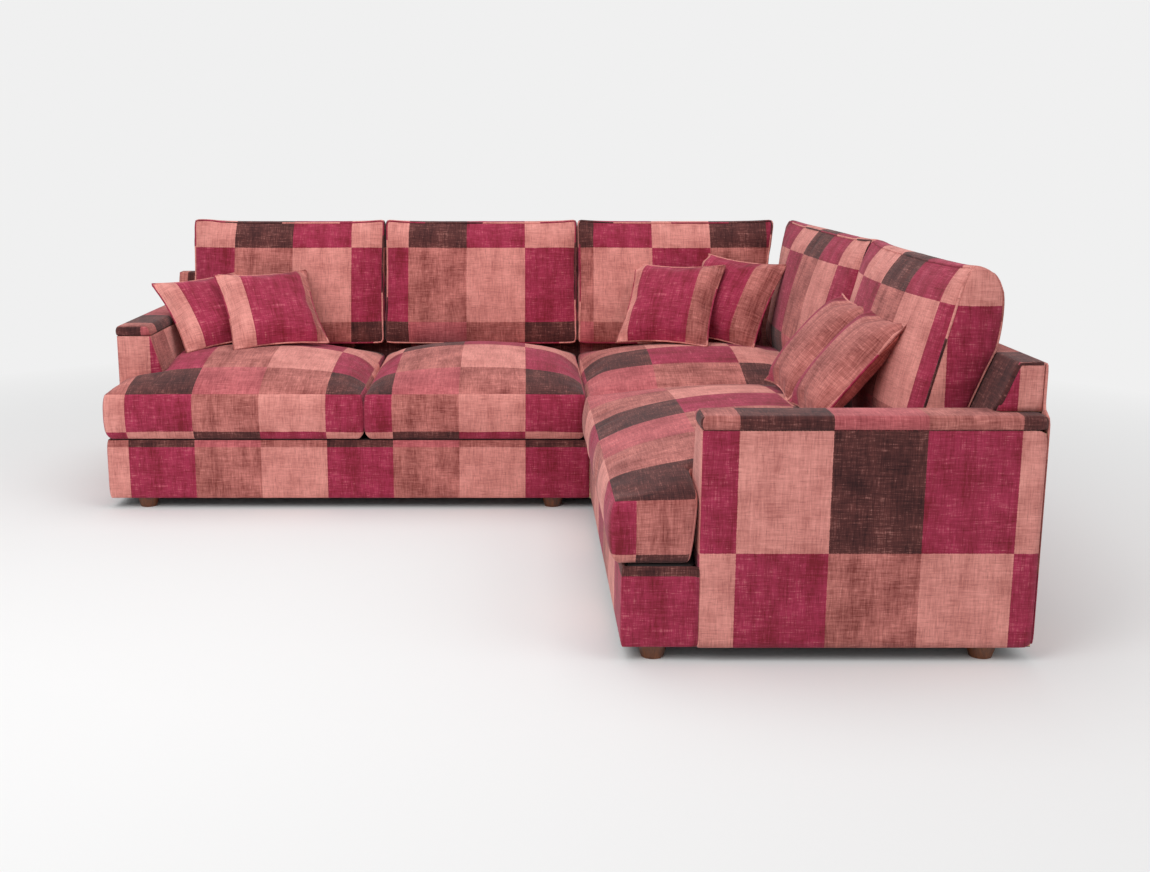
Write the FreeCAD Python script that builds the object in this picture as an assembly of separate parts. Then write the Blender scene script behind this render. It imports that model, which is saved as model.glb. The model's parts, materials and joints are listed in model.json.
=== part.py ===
import FreeCAD, Part
import math
import os

os.makedirs("parts", exist_ok=True)
V = FreeCAD.Vector

# A corner sofa of three units. Sizes are in millimetres.
# Every unit is drawn in its own frame: u along its length, w from front to back, z up.

# Overall sizes of the units
depth = 992.0
left_length = 1639.0
right_length = 1372.0

# Base
base_bottom = 36.0
base_top = 240.0
skin = 8.0
dust_sheet = 2.0
rail = 22.0
board = 18.0
deck = 8.0
lay = 0.3

# Arms
arm_height = 603.0
arm_width = 112.0
arm_slope = 0.30
arm_setback = 183.0
arm_board = 15.0
cap_height = 36.0
cap_overhang = 3.0
cap_round = 9.0

# Backs
back_height = 721.0
back_width = 70.0
back_slope = 0.4065
back_inset = 45.0
top_rail = 22.0
rib_spacing = 255.0
cross_spacing = 561.0

# Seat springs
wire = 4.0
spring_turn = 19.0
spring_straight = 16.0
spring_spacing = 150.0
spring_edge = 70.0
spring_clear = 0.2

# Feet, with their bolts and nuts
foot_top = 75.0
foot_tip = 55.0
left_foot_end = 125.0
left_foot_front = 49.0
left_foot_back = 52.0
right_foot_end = 51.0
right_foot_front = 83.0
right_foot_back = 112.0
corner_foot = 67.0
block_half = 45.0
bolt = 8.0
bolt_clear = 0.4
bolt_in_foot = 24.0
nut_flange = 22.0
nut_thick = 2.5

# Bolts that join the units
joint_bolt = 10.0
joint_head = 20.0
joint_head_thick = 4.0
joint_nut_thick = 6.0
joint_tail = 9.0
joint_front = 150.0
joint_from_back = 392.0
joint_drop = 98.0

# Seat cushions
seat_border = 157.0
seat_crown = 247.0
seat_cross_crown = 6.0
seat_peak = 345.0
seat_tail = 172.0
seat_tail_room = 142.0
seat_front = -12.0
right_seat_front = -24.0
seat_edge = 18.0
seat_tuck = 4.0
seat_corner = 16.0
seat_spare = 2.0
seat_gap = 2.0
seam = 877.0
corner_lap = 13.0
right_lap = 30.0

# Back cushions
cushion_room = 286.0
cushion_lean = 0.2495
cushion_rise = 214.0
cushion_belly = 18.0
cushion_crown = 20.0
cushion_round = 14.0
cushion_draw = 6.0
cushion_dip = 7.0
cushion_gap = 1.5
cushion_touch = 0.5
cushion_rear_bulge = 14.0
cushion_rear_high = 125.0
cushion_first = 127.0
right_cushion_first = 190.0
left_crown_start = 63.0
left_end_crown = 35.0
corner_back_room = 293.0
side_back_room = 192.0
side_back_lap = 260.0

# Scatter cushions
scatter = 362.0
scatter_thick = 104.0
scatter_edge = 3.0
scatter_draw = 15.0

# What follows from the sizes above
shift_x = (left_length + depth) / 2
shift_y = (depth - right_length) / 2
inner_face = depth - skin
rail_bottom = base_bottom + dust_sheet
deck_bottom = base_top - deck
rail_top = deck_bottom - wire - 2 * spring_clear
arm_top = arm_height - cap_height
arm_front = arm_setback
arm_skin = skin * math.hypot(1, arm_slope)
arm_plank = arm_board * math.hypot(1, arm_slope)
back_skin = skin * math.hypot(1, back_slope)
outer = cap_overhang
inside = cap_overhang + skin
seat_bottom = base_top + lay
beyond = 50.0
bend = 0.293
roof = seat_bottom + seat_crown + beyond
joint_back = depth - joint_from_back
corner_seam = left_length - corner_lap
right_seam = right_length - right_lap
seat_tail_at = depth - seat_tail_room
cushion_front = depth - cushion_room
cushion_top = back_height + cushion_rise
corner_back_end = left_length + depth - corner_back_room
corner_back_far = depth - side_back_room
right_back_seam = right_length - side_back_lap


def arm_inner(z):
    """Inner face of an arm's cover at height z, measured from the arm's outer plane."""
    return arm_width + arm_slope * (arm_height - z)


def back_inner(z):
    """Inner face of a back's cover at height z, measured from the unit's front."""
    return depth - back_width - back_slope * (back_height - z)


def rib_face(z):
    """Inner face of the timber under the back's cover."""
    return back_inner(z) + back_skin


seat_rail_back = rib_face(base_top)
seat_rail_front = seat_rail_back - rail


def box(u0, u1, w0, w1, z0, z1):
    """A block between two corners."""
    return Part.makeBox(u1 - u0, w1 - w0, z1 - z0, V(u0, w0, z0))


def rod(diameter, length, start, along):
    """A round bar."""
    return Part.makeCylinder(diameter / 2, length, start, along)


def loop(steps, to_space):
    """A closed wire from 2-D steps: a point, or a middle and an end for an arc."""
    edges = []
    here = to_space(*steps[0])
    first = here
    for step in list(steps[1:]) + [steps[0]]:
        if isinstance(step[0], tuple):
            middle = to_space(*step[0])
            end = to_space(*step[1])
            edges.append(Part.Arc(here, middle, end).toShape())
        else:
            end = to_space(*step)
            if end.distanceToPoint(here) > 1e-6:
                edges.append(Part.LineSegment(here, end).toShape())
        here = end
    if here.distanceToPoint(first) > 1e-6:
        edges.append(Part.LineSegment(here, first).toShape())
    return Part.Wire(edges)


def along_u(steps, u0, u1):
    """A solid with a section in w and z, drawn out along u."""
    wire_loop = loop(steps, lambda w, z: V(u0, w, z))
    return Part.Face(wire_loop).extrude(V(u1 - u0, 0, 0))


def along_w(steps, w0, w1):
    """A solid with a section in u and z, drawn out along w."""
    wire_loop = loop(steps, lambda u, z: V(u, w0, z))
    return Part.Face(wire_loop).extrude(V(0, w1 - w0, 0))


def along_z(steps, z0, z1):
    """A solid with a plan outline, drawn out along z."""
    wire_loop = loop(steps, lambda u, w: V(u, w, z0))
    return Part.Face(wire_loop).extrude(V(0, 0, z1 - z0))


def rounded_outline(corners, outer_radius, inner_radius, z):
    """A closed plan outline, drawn anticlockwise, with every corner rounded."""
    arcs = []
    count = len(corners)
    for i, corner in enumerate(corners):
        point = V(corner[0], corner[1], z)
        to_last = (V(*corners[i - 1], z) - point).normalize()
        to_next = (V(*corners[(i + 1) % count], z) - point).normalize()
        radius = outer_radius if to_next.cross(to_last).z > 0 else inner_radius
        half = to_last.getAngle(to_next) / 2
        start = point + to_last * (radius / math.tan(half))
        end = point + to_next * (radius / math.tan(half))
        inward = (to_last + to_next).normalize()
        middle = point + inward * (radius / math.sin(half) - radius)
        arcs.append((start, middle, end))
    edges = []
    for i, (start, middle, end) in enumerate(arcs):
        edges.append(Part.Arc(start, middle, end).toShape())
        edges.append(Part.LineSegment(end, arcs[(i + 1) % count][0]).toShape())
    return Part.Wire(edges)


def swap(shape):
    """Exchange u and w, which turns a unit that runs along X into one that runs along Y."""
    return shape.mirror(V(0, 0, 0), V(1, -1, 0))


def moved(shape, x, y):
    """A copy in the sofa's frame."""
    copy = shape.copy()
    copy.translate(V(x - shift_x, y - shift_y, 0))
    return copy


def in_left(shape):
    """From the left unit's frame, with its arm at u = 0, to the sofa's."""
    return moved(shape, 0, 0)


def in_corner(shape):
    """From the corner unit's frame to the sofa's."""
    return moved(shape, left_length, 0)


def in_right(shape):
    """From the right unit's frame, with its arm at u = 0, to the sofa's."""
    return moved(swap(shape), left_length, -right_length)


def save(name, solids, place):
    """Write one named piece, or a group of like solids."""
    placed = [place(solid) for solid in solids]
    shape = placed[0] if len(placed) == 1 else Part.makeCompound(placed)
    shape.exportStep("parts/%s.step" % name)
    print(name, len(shape.Solids), round(shape.Volume / 1000.0), shape.isValid())


def spread(first, last, spacing):
    """Even steps from first to last, no further apart than the spacing."""
    count = max(1, math.ceil((last - first) / spacing))
    return [first + (last - first) * i / count for i in range(count + 1)]


def back_wedge(length):
    """The whole space of a back, for trimming what meets it."""
    steps = [
        (back_inner(base_top), rail_bottom),
        (back_inner(base_top), base_top),
        (back_inner(back_height), back_height),
        (depth, back_height),
        (depth, rail_bottom),
    ]
    return along_u(steps, 0, length)


def arm_space(low, high):
    """The whole space of an arm between two heights, for trimming what meets it."""
    steps = [(0, low), (0, high), (arm_inner(high), high), (arm_inner(low), low)]
    return along_w(steps, arm_front, depth)


# Timber of the bases
def rail_along_u(u0, u1, w0):
    return box(u0, u1, w0, w0 + rail, rail_bottom, rail_top)


def rail_along_w(u0, w0, w1):
    return box(u0, u0 + rail, w0, w1, rail_bottom, rail_top)


def armed_cross_rails(length):
    """Rails from front to back, one under each side of the arm and the rest under the seats."""
    under_arm = arm_inner(rail_top) - arm_skin - rail
    places = [inside] + spread(under_arm, length - rail, cross_spacing)
    return [rail_along_w(u, skin + rail, seat_rail_front) for u in places]


# Serpentine seat springs
def spring(u, w0, w1):
    """One spring: straight runs across, joined by half turns, from rail to rail."""
    half = spring_straight / 2
    z = rail_top + spring_clear + wire / 2
    turns = int((w1 - w0) / (2 * spring_turn))
    start = w0 + ((w1 - w0) - turns * 2 * spring_turn) / 2
    edges = []
    for i in range(turns + 1):
        w = start + i * 2 * spring_turn
        side = half if i % 2 == 0 else -half
        edges.append(Part.LineSegment(V(u - side, w, z), V(u + side, w, z)).toShape())
        if i < turns:
            tip = side + math.copysign(spring_turn, side)
            middle = V(u + tip, w + spring_turn, z)
            end = V(u + side, w + 2 * spring_turn, z)
            edges.append(Part.Arc(V(u + side, w, z), middle, end).toShape())
    path = Part.Wire(edges)
    ring = Part.Circle(V(u - half, start, z), V(1, 0, 0), wire / 2).toShape()
    return path.makePipeShell([Part.Wire([ring])], True, False)


def spring_row(u0, u1, w0, w1):
    """Springs side by side across a seat."""
    return [spring(u, w0, w1) for u in spread(u0, u1, spring_spacing)]


# Timber of the backs
def rib(u, low, high):
    """An upright that gives the back its slope."""
    steps = [(rib_face(max(low, base_top)), low)]
    if low < base_top:
        steps.append((rib_face(base_top), base_top))
    steps += [(rib_face(high), high), (inner_face, high), (inner_face, low)]
    return along_u(steps, u, u + board)


def back_rail(u0, u1):
    """The rail along the top of a back."""
    low = back_height - skin - top_rail
    high = back_height - skin
    steps = [(rib_face(low), low), (rib_face(high), high), (inner_face, high), (inner_face, low)]
    return along_u(steps, u0, u1)


def back_timber(first_rib, last_rib, u0, u1, rail_start):
    """Bottom board, uprights and top rail of one back."""
    floor = box(u0, u1, seat_rail_back, inner_face, rail_bottom, rail_bottom + board)
    low = rail_bottom + board
    high = back_height - skin - top_rail
    uprights = [rib(u, low, high) for u in spread(first_rib, last_rib - board, rib_spacing)]
    return [floor, back_rail(rail_start, u1)] + uprights


# Covers of the backs
def inside_back(u0, u1):
    """Padded cover of the sloping inner face and the top."""
    low = back_height - skin
    steps = [
        (back_inner(base_top), base_top),
        (back_inner(back_height), back_height),
        (inner_face, back_height),
        (inner_face, low),
        (rib_face(low), low),
        (rib_face(base_top), base_top),
    ]
    return along_u(steps, u0, u1)


def armed_inside_back(length):
    """Inner cover cut round the arm, with the end above the arm closed."""
    cover = inside_back(back_inset, length).cut(arm_space(0, arm_height)).cut(arm_cap())
    low = back_height - skin
    end_steps = [
        (back_inner(arm_height), arm_height),
        (back_inner(low), low),
        (inner_face, low),
        (inner_face, arm_height),
    ]
    return cover.fuse(along_u(end_steps, back_inset, back_inset + skin)).removeSplitter()


def armed_outside_back(length):
    """Flat cover of the back and of the arm's end."""
    steps = [
        (outer, base_bottom),
        (length, base_bottom),
        (length, back_height),
        (back_inset, back_height),
        (back_inset, arm_height),
        (outer, arm_height),
    ]
    return along_w(steps, inner_face, depth)


# Arms
def arm_section(off_outer, off_inner, low, high):
    """Section of an arm, drawn in from its outer plane and its sloping face."""
    return [
        (off_outer, low),
        (off_outer, high),
        (arm_inner(high) - off_inner, high),
        (arm_inner(low) - off_inner, low),
    ]


def arm_cover():
    """Padded cover of an arm, whose outer side reaches down over the base."""
    whole = along_w(arm_section(outer, 0, rail_top, arm_top), arm_front, inner_face)
    core = along_w(arm_section(inside, arm_skin, 0, arm_top - skin), arm_front + skin, depth)
    skirt = box(outer, inside, arm_front, inner_face, base_bottom, rail_top)
    return whole.cut(core).fuse(skirt).removeSplitter()


def arm_cap():
    """The flat padded band on top of an arm, a little wider than the arm."""
    over = cap_overhang
    steps = [
        (0, arm_top),
        (0, arm_height - cap_round),
        ((cap_round * bend, arm_height - cap_round * bend), (cap_round, arm_height)),
        (arm_inner(arm_height) + over - cap_round, arm_height),
        ((arm_inner(arm_height) + over - cap_round * bend, arm_height - cap_round * bend),
         (arm_inner(arm_height - cap_round) + over, arm_height - cap_round)),
        (arm_inner(arm_top) + over, arm_top),
    ]
    return along_w(steps, arm_front - over, inner_face)


def arm_frame():
    """Boards inside an arm: front, rear, top, outer and inner."""
    front = arm_front + skin
    ledge = arm_top - skin
    under = ledge - arm_board
    ends = arm_section(inside, arm_skin, rail_top, ledge)
    between = (front + arm_board, inner_face - arm_board)
    outer_steps = [(inside, rail_top), (inside, under), (inside + arm_board, under),
                   (inside + arm_board, rail_top)]
    inner_steps = [
        (arm_inner(rail_top) - arm_skin - arm_plank, rail_top),
        (arm_inner(under) - arm_skin - arm_plank, under),
        (arm_inner(under) - arm_skin, under),
        (arm_inner(rail_top) - arm_skin, rail_top),
    ]
    return [
        along_w(ends, front, front + arm_board),
        along_w(ends, inner_face - arm_board, inner_face),
        along_w(arm_section(inside, arm_skin, under, ledge), *between),
        along_w(outer_steps, *between),
        along_w(inner_steps, *between),
    ]


# Covers of the bases
def front_border(length):
    """Padded cover of the base's front, which turns the corner up to the arm."""
    front = box(outer, length, 0, skin, base_bottom, base_top)
    end = box(outer, inside, skin, arm_front, base_bottom, base_top)
    return front.fuse(end).removeSplitter()


def armed_deck(length):
    """The lining that the seat cushions lie on, cut round the arm."""
    steps = [
        (inside, skin),
        (length, skin),
        (length, seat_rail_back),
        (arm_inner(deck_bottom), seat_rail_back),
        (arm_inner(deck_bottom), arm_front),
        (inside, arm_front),
    ]
    return along_z(steps, deck_bottom, base_top)


def bolt_hole(u, w, z0, z1):
    return rod(bolt + 2 * bolt_clear, z1 - z0, V(u, w, z0), V(0, 0, 1))


def sheet(u0, w0, u1, w1, feet):
    """Thin cloth under a unit, pierced where the foot bolts pass."""
    cloth = box(u0, u1, w0, w1, base_bottom, rail_bottom)
    for u, w in feet:
        cloth = cloth.cut(bolt_hole(u, w, base_bottom, rail_bottom))
    return cloth


def drilled(solids, feet):
    """Bottom boards and blocks with the holes of the foot bolts."""
    result = []
    for solid in solids:
        bounds = solid.BoundBox
        for u, w in feet:
            inside_u = bounds.XMin < u < bounds.XMax
            inside_w = bounds.YMin < w < bounds.YMax
            if inside_u and inside_w and bounds.ZMin < rail_bottom + 1:
                solid = solid.cut(bolt_hole(u, w, rail_bottom, rail_bottom + board))
        result.append(solid)
    return result


# Feet
def foot(u, w):
    """A tapered round wooden foot with a hole for its bolt."""
    cone = Part.makeCone(foot_tip / 2, foot_top / 2, base_bottom, V(u, w, 0), V(0, 0, 1))
    return cone.cut(bolt_hole(u, w, base_bottom - bolt_in_foot - bolt_clear, base_bottom))


def foot_bolt(u, w):
    start = base_bottom - bolt_in_foot
    end = rail_bottom + board + 2 * nut_thick
    return rod(bolt, end - start, V(u, w, start), V(0, 0, 1))


def foot_nut(u, w):
    low = rail_bottom + board
    ring = rod(nut_flange, nut_thick, V(u, w, low), V(0, 0, 1))
    return ring.cut(bolt_hole(u, w, low, low + nut_thick))


def foot_block(u, w, u_rail, w_rail):
    """A block in the angle of two rails, which a front foot is bolted to."""
    low_u = max(u_rail, u - block_half)
    return box(low_u, u + block_half, w_rail, w + block_half, rail_bottom, rail_bottom + board)


# Bolts between the units
def joint_bolt_solid(start, along):
    """A bolt whose head bears on the first rail and whose end stands out of the second."""
    shank = rod(joint_bolt, 2 * rail + joint_tail, start, along)
    head = rod(joint_head, joint_head_thick, start - along * joint_head_thick, along)
    return shank.fuse(head).removeSplitter()


def joint_nut_solid(start, along):
    low = start + along * (2 * rail)
    ring = rod(joint_head, joint_nut_thick, low, along)
    return ring.cut(rod(joint_bolt + 2 * bolt_clear, joint_nut_thick, low, along))


def joint_holes(solid, starts, along):
    """The holes that the joining bolts pass through."""
    for start in starts:
        solid = solid.cut(rod(joint_bolt + 2 * bolt_clear, 2 * rail, start, along))
    return solid


# Cushion forms
def barrel(lo, hi, border_lo, border_hi, peak_at, peak):
    """Section of a boxed cushion: tucked lower corners, full sides and a crowned top."""
    low = seat_bottom
    middle_lo = low + border_lo / 2
    middle_hi = low + border_hi / 2
    return [
        (lo + seat_edge, low),
        (hi - seat_edge, low),
        ((hi - seat_tuck - bend * (seat_edge - seat_tuck), low + bend * seat_edge),
         (hi - seat_tuck, low + seat_edge)),
        ((hi, middle_hi), (hi - seat_tuck, low + border_hi)),
        ((peak_at, low + peak), (lo + seat_tuck, low + border_lo)),
        ((lo, middle_lo), (lo + seat_tuck, low + seat_edge)),
        ((lo + seat_tuck + bend * (seat_edge - seat_tuck), low + bend * seat_edge),
         (lo + seat_edge, low)),
    ]


def seat_body(outline_at):
    """The block between the plan outlines at a seat cushion's bottom and above its top."""
    levels = [seat_bottom - seat_spare, roof]
    wires = [rounded_outline(outline_at(z), seat_corner, seat_gap, z) for z in levels]
    return Part.makeLoft(wires, True, True)


def seat_form(outline_at, u0, u1, w_front):
    """A seat cushion: a plan outline that follows the slopes, cut to two crowned sections."""
    body = seat_body(outline_at)
    side = barrel(w_front, seat_tail_at, seat_border, seat_tail, seat_peak + w_front, seat_crown)
    front = barrel(u0, u1, seat_border, seat_border, (u0 + u1) / 2, seat_crown + seat_cross_crown)
    body = body.common(along_u(side, u0 - beyond, u1 + beyond))
    return body.common(along_w(front, w_front - beyond, depth))


def arm_seat(u1, w_front):
    """A cushion beside an arm, with an ear that turns in front of the arm."""
    ear_back = arm_front - cap_overhang - seat_gap
    ear_end = outer

    def outline_at(z):
        side = arm_inner(z) + seat_gap
        rear = back_inner(z) - seat_gap
        left, right, front = ear_end - seat_spare, u1 + seat_spare, w_front - seat_spare
        return [(left, front), (right, front), (right, rear), (side, rear),
                (side, ear_back), (left, ear_back)]
    return seat_form(outline_at, ear_end, u1, w_front)


def plain_seat(u0, u1, w_front):
    """A cushion between two others."""
    def outline_at(z):
        rear = back_inner(z) - seat_gap
        left, right, front = u0 - seat_spare, u1 + seat_spare, w_front - seat_spare
        return [(left, front), (right, front), (right, rear), (left, rear)]
    return seat_form(outline_at, u0, u1, w_front)


def corner_seat_form(u0, w0):
    """The cushion in the corner, with a back on two sides."""
    def outline_at(z):
        rear = back_inner(z) - seat_gap
        left, front = u0 - seat_spare, w0 - seat_spare
        return [(left, front), (rear, front), (rear, rear), (left, rear)]
    body = seat_body(outline_at)
    side = barrel(w0, seat_tail_at, seat_border, seat_tail, seat_peak, seat_crown)
    front = barrel(u0, seat_tail_at, seat_border, seat_tail, seat_peak, seat_crown)
    body = body.common(along_u(side, u0 - beyond, depth))
    return body.common(along_w(front, w0 - beyond, depth))


def arc_height(first, top, last, x):
    """Height at x of the circle through three points."""
    (x1, y1), (x2, y2), (x3, y3) = first, top, last
    double = 2 * (x1 * (y2 - y3) + x2 * (y3 - y1) + x3 * (y1 - y2))
    s1, s2, s3 = x1 * x1 + y1 * y1, x2 * x2 + y2 * y2, x3 * x3 + y3 * y3
    cx = (s1 * (y2 - y3) + s2 * (y3 - y1) + s3 * (y1 - y2)) / double
    cy = (s1 * (x3 - x2) + s2 * (x1 - x3) + s3 * (x2 - x1)) / double
    return cy + math.sqrt((x1 - cx) ** 2 + (y1 - cy) ** 2 - (x - cx) ** 2)


def crown_height(w, w_front):
    """Top of a seat cushion along its middle."""
    first = (w_front + seat_tuck, seat_border)
    last = (seat_tail_at - seat_tuck, seat_tail)
    return seat_bottom + arc_height(first, (seat_peak + w_front, seat_crown), last, w)


cushion_bottom = crown_height(cushion_front, seat_front) + lay + cushion_touch


def cushion_face(z):
    """Front of a back cushion before it is crowned."""
    return cushion_front + cushion_lean * (z - cushion_bottom)


def beside_arm():
    """The room that a back cushion leaves for an arm and its cap."""
    clear = cap_overhang + seat_gap
    above = arm_height + beyond
    steps = [(-beyond, 0), (arm_inner(0) + clear, 0), (arm_inner(above) + clear, above), (-beyond, above)]
    return along_w(steps, 0, depth + 2 * beyond)


def back_cushion(u0, u1, crown_start=0.0, first_crown=cushion_crown):
    """A back cushion: full front, piped corners drawn in, lying against the slope."""
    low, high = cushion_bottom, cushion_top
    middle = (low + high) / 2
    curve = cushion_round

    def slope(z):
        return back_inner(z) - cushion_touch
    shoulder = high - 2 * curve
    lip = back_height - 1.5 * curve
    bulge_at = back_height + cushion_rear_high
    side_steps = [
        (cushion_face(low) + curve, low),
        ((cushion_face(low) + bend * curve, low + bend * curve),
         (cushion_face(low + curve), low + curve)),
        ((cushion_face(middle) - cushion_belly, middle),
         (cushion_face(shoulder), shoulder)),
        ((cushion_face(shoulder) + curve / 2, high - bend * curve),
         (cushion_face(high) + 1.5 * curve, high)),
        ((slope(back_height) - 1.5 * curve, high - curve),
         (slope(back_height) + cushion_rear_bulge, bulge_at)),
        ((slope(back_height) + 0.4 * curve, (lip + bulge_at) / 2), (slope(lip), lip)),
        (slope(low + curve), low + curve),
        ((slope(low) - bend * curve, low + bend * curve), (slope(low) - curve, low)),
    ]
    body = along_u(side_steps, u0, u1)
    centre = (u0 + crown_start + u1) / 2
    front_steps = [
        (u0 + curve, low),
        (u1 - curve, low),
        ((u1 - bend * curve, low + bend * curve), (u1, low + curve)),
        ((u1 - cushion_draw, middle), (u1, high)),
        ((centre, high - cushion_dip), (u0, high)),
        ((u0 + cushion_draw, middle), (u0, low + curve)),
        ((u0 + bend * curve, low + bend * curve), (u0 + curve, low)),
    ]
    body = body.common(along_w(front_steps, 0, depth + 2 * beyond))
    plans = []
    for z in (low - 1, high + 1):
        face = cushion_face(z)
        steps = [
            (u0 - 1, face + first_crown),
            ((centre, face - cushion_belly), (u1 + 1, face + cushion_crown)),
            (u1 + 1, depth + 2 * beyond),
            (u0 - 1, depth + 2 * beyond),
        ]
        plans.append(loop(steps, lambda u, w, z=z: V(u, w, z)))
    return body.common(Part.makeLoft(plans, True, True))


def pillow():
    """A scatter cushion: two full faces that meet at a thin seam, with pointed corners."""
    half = scatter / 2
    thick = scatter_thick / 2
    edge = scatter_edge
    lens = [
        (-half, -edge),
        ((0, -thick), (half, -edge)),
        (half, edge),
        ((0, thick), (-half, edge)),
    ]
    drawn = half - scatter_draw
    square = [
        (-half, -half),
        ((0, -drawn), (half, -half)),
        ((drawn, 0), (half, half)),
        ((0, drawn), (-half, half)),
        ((-drawn, 0), (-half, -half)),
    ]
    tall = Part.Face(loop(lens, lambda a, d: V(a, d, -half))).extrude(V(0, 0, scatter))
    wide = Part.Face(loop(lens, lambda a, d: V(-half, d, a))).extrude(V(scatter, 0, 0))
    plan = Part.Face(loop(square, lambda a, b: V(a, -thick, b))).extrude(V(0, 2 * thick, 0))
    return tall.common(wide).common(plan)


def posed(form, place, turn, lean, roll):
    """Set a scatter cushion down: rolled in its plane, leaned back, then turned about z."""
    solid = form.copy()
    origin = V(0, 0, 0)
    solid.rotate(origin, V(0, 1, 0), roll)
    solid.rotate(origin, V(1, 0, 0), -lean)
    solid.rotate(origin, V(0, 0, 1), turn)
    solid.translate(V(*place))
    return solid


# Where the feet stand in each unit's frame
left_feet = [(u, w) for u in (left_foot_end, left_length - left_foot_end)
             for w in (left_foot_front, depth - left_foot_back)]
right_feet = [(u, w) for u in (right_foot_end, right_length - left_foot_end)
              for w in (right_foot_front, depth - right_foot_back)]
corner_feet = [(u, w) for u in (corner_foot, depth - left_foot_back)
               for w in (corner_foot, depth - left_foot_back)]

# Bolts that join the left unit to the corner run along X, and the right unit's along Y
joint_height = rail_bottom + joint_drop
left_joint = [V(left_length - rail, w, joint_height) for w in (joint_front, joint_back)]
right_joint = [V(right_length - rail, w, joint_height) for w in (joint_front, joint_back)]
corner_left_joint = [V(-rail, w, joint_height) for w in (joint_front, joint_back)]
corner_right_joint = [V(u, -rail, joint_height) for u in (joint_front, joint_back)]
ALONG_U = V(1, 0, 0)
ALONG_W = V(0, 1, 0)


def armed_unit(name, length, place, feet, joint):
    """Every fixed piece of a unit with an arm at u = 0."""
    cross = armed_cross_rails(length)
    cross[-1] = joint_holes(cross[-1], joint, ALONG_U)
    save(name + "_front_rail", [rail_along_u(inside, length, skin)], place)
    save(name + "_seat_back_rail", [rail_along_u(inside, length, seat_rail_front)], place)
    save(name + "_cross_rails", cross, place)
    first_spring = arm_inner(rail_top) + spring_edge
    springs = spring_row(first_spring, length - spring_edge, skin + rail / 2,
                         seat_rail_back - rail / 2)
    save(name + "_seat_springs", springs, place)
    save(name + "_deck_lining", [armed_deck(length)], place)
    save(name + "_front_border", [front_border(length)], place)
    save(name + "_outside_back", [armed_outside_back(length)], place)
    save(name + "_inside_back", [armed_inside_back(length)], place)
    first_rib = arm_inner(rail_bottom + board) + seat_gap
    timber = back_timber(first_rib, length, inside, length, back_inset + skin)
    timber.append(rib(back_inset + skin, arm_height, back_height - skin - top_rail))
    timber.append(box(inside, inside + board, seat_rail_back, inner_face,
                      rail_bottom + board, rail_top))
    save(name + "_back_frame", drilled(timber, feet), place)


armed_unit("left_unit", left_length, in_left, left_feet, left_joint)
armed_unit("right_unit", right_length, in_right, right_feet, right_joint)
for arm_name, arm_place in (("left_arm", in_left), ("right_arm", in_right)):
    save(arm_name + "_frame", arm_frame(), arm_place)
    save(arm_name + "_cover", [arm_cover()], arm_place)
    save(arm_name + "_cap", [arm_cap()], arm_place)

# The corner unit, with one back behind and one at its right
corner_front = joint_holes(rail_along_u(0, seat_rail_back, 0), corner_right_joint, ALONG_W)
corner_side = joint_holes(rail_along_w(0, rail, seat_rail_front), corner_left_joint, ALONG_U)
save("corner_unit_long_rails",
     [corner_front, rail_along_u(0, seat_rail_back, seat_rail_front)], in_corner)
save("corner_unit_cross_rails",
     [corner_side, rail_along_w((seat_rail_front - rail) / 2, rail, seat_rail_front),
      rail_along_w(seat_rail_front, rail, seat_rail_front)], in_corner)
save("corner_unit_seat_springs",
     spring_row(spring_edge, seat_rail_front - spring_edge, rail / 2,
                seat_rail_back - rail / 2), in_corner)
save("corner_unit_deck_lining",
     [box(0, seat_rail_back, 0, seat_rail_back, deck_bottom, base_top)], in_corner)
rear_timber = back_timber(0, inner_face, 0, inner_face, 0)
side_timber = [swap(piece) for piece in
               back_timber(0, seat_rail_back - board, 0, inner_face, 0)]
rear_space = back_wedge(depth)
side_timber = [piece.cut(rear_space) for piece in side_timber]
save("corner_unit_rear_back_frame", drilled(rear_timber, corner_feet), in_corner)
save("corner_unit_side_back_frame", drilled(side_timber, corner_feet), in_corner)
save("corner_unit_rear_inside_back", [inside_back(0, inner_face)], in_corner)
save("corner_unit_side_inside_back",
     [swap(inside_back(0, inner_face)).cut(rear_space)], in_corner)
save("corner_unit_rear_outside_back",
     [box(0, depth, inner_face, depth, base_bottom, back_height)], in_corner)
save("corner_unit_side_outside_back",
     [box(inner_face, depth, 0, inner_face, base_bottom, back_height)], in_corner)

# Cloth under the three units
sheets = [
    in_left(sheet(inside, skin, left_length, inner_face, left_feet)),
    in_corner(sheet(0, 0, inner_face, inner_face, corner_feet)),
    in_right(sheet(inside, skin, right_length, inner_face, right_feet)),
]
save("dust_covers", sheets, lambda solid: solid)

# Feet and what holds them
unit_feet = {
    "left_unit": (left_feet, in_left),
    "corner_unit": (corner_feet, in_corner),
    "right_unit": (right_feet, in_right),
}
bolts = []
nuts = []
for unit_name, (places, unit_place) in unit_feet.items():
    save(unit_name + "_feet", [foot(u, w) for u, w in places], unit_place)
    bolts += [unit_place(foot_bolt(u, w)) for u, w in places]
    nuts += [unit_place(foot_nut(u, w)) for u, w in places]
blocks = []
for unit_name, (places, unit_place) in unit_feet.items():
    for u, w in places:
        if w < depth / 2 and not (unit_name == "corner_unit" and u > depth / 2):
            u_rail = rail if unit_name == "corner_unit" else inside + rail
            w_rail = rail if unit_name == "corner_unit" else skin + rail
            block = drilled([foot_block(u, w, u_rail, w_rail)], places)[0]
            blocks.append(unit_place(block))
save("foot_bolts", bolts, lambda solid: solid)
save("foot_nuts", nuts, lambda solid: solid)
save("foot_blocks", blocks, lambda solid: solid)

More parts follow.
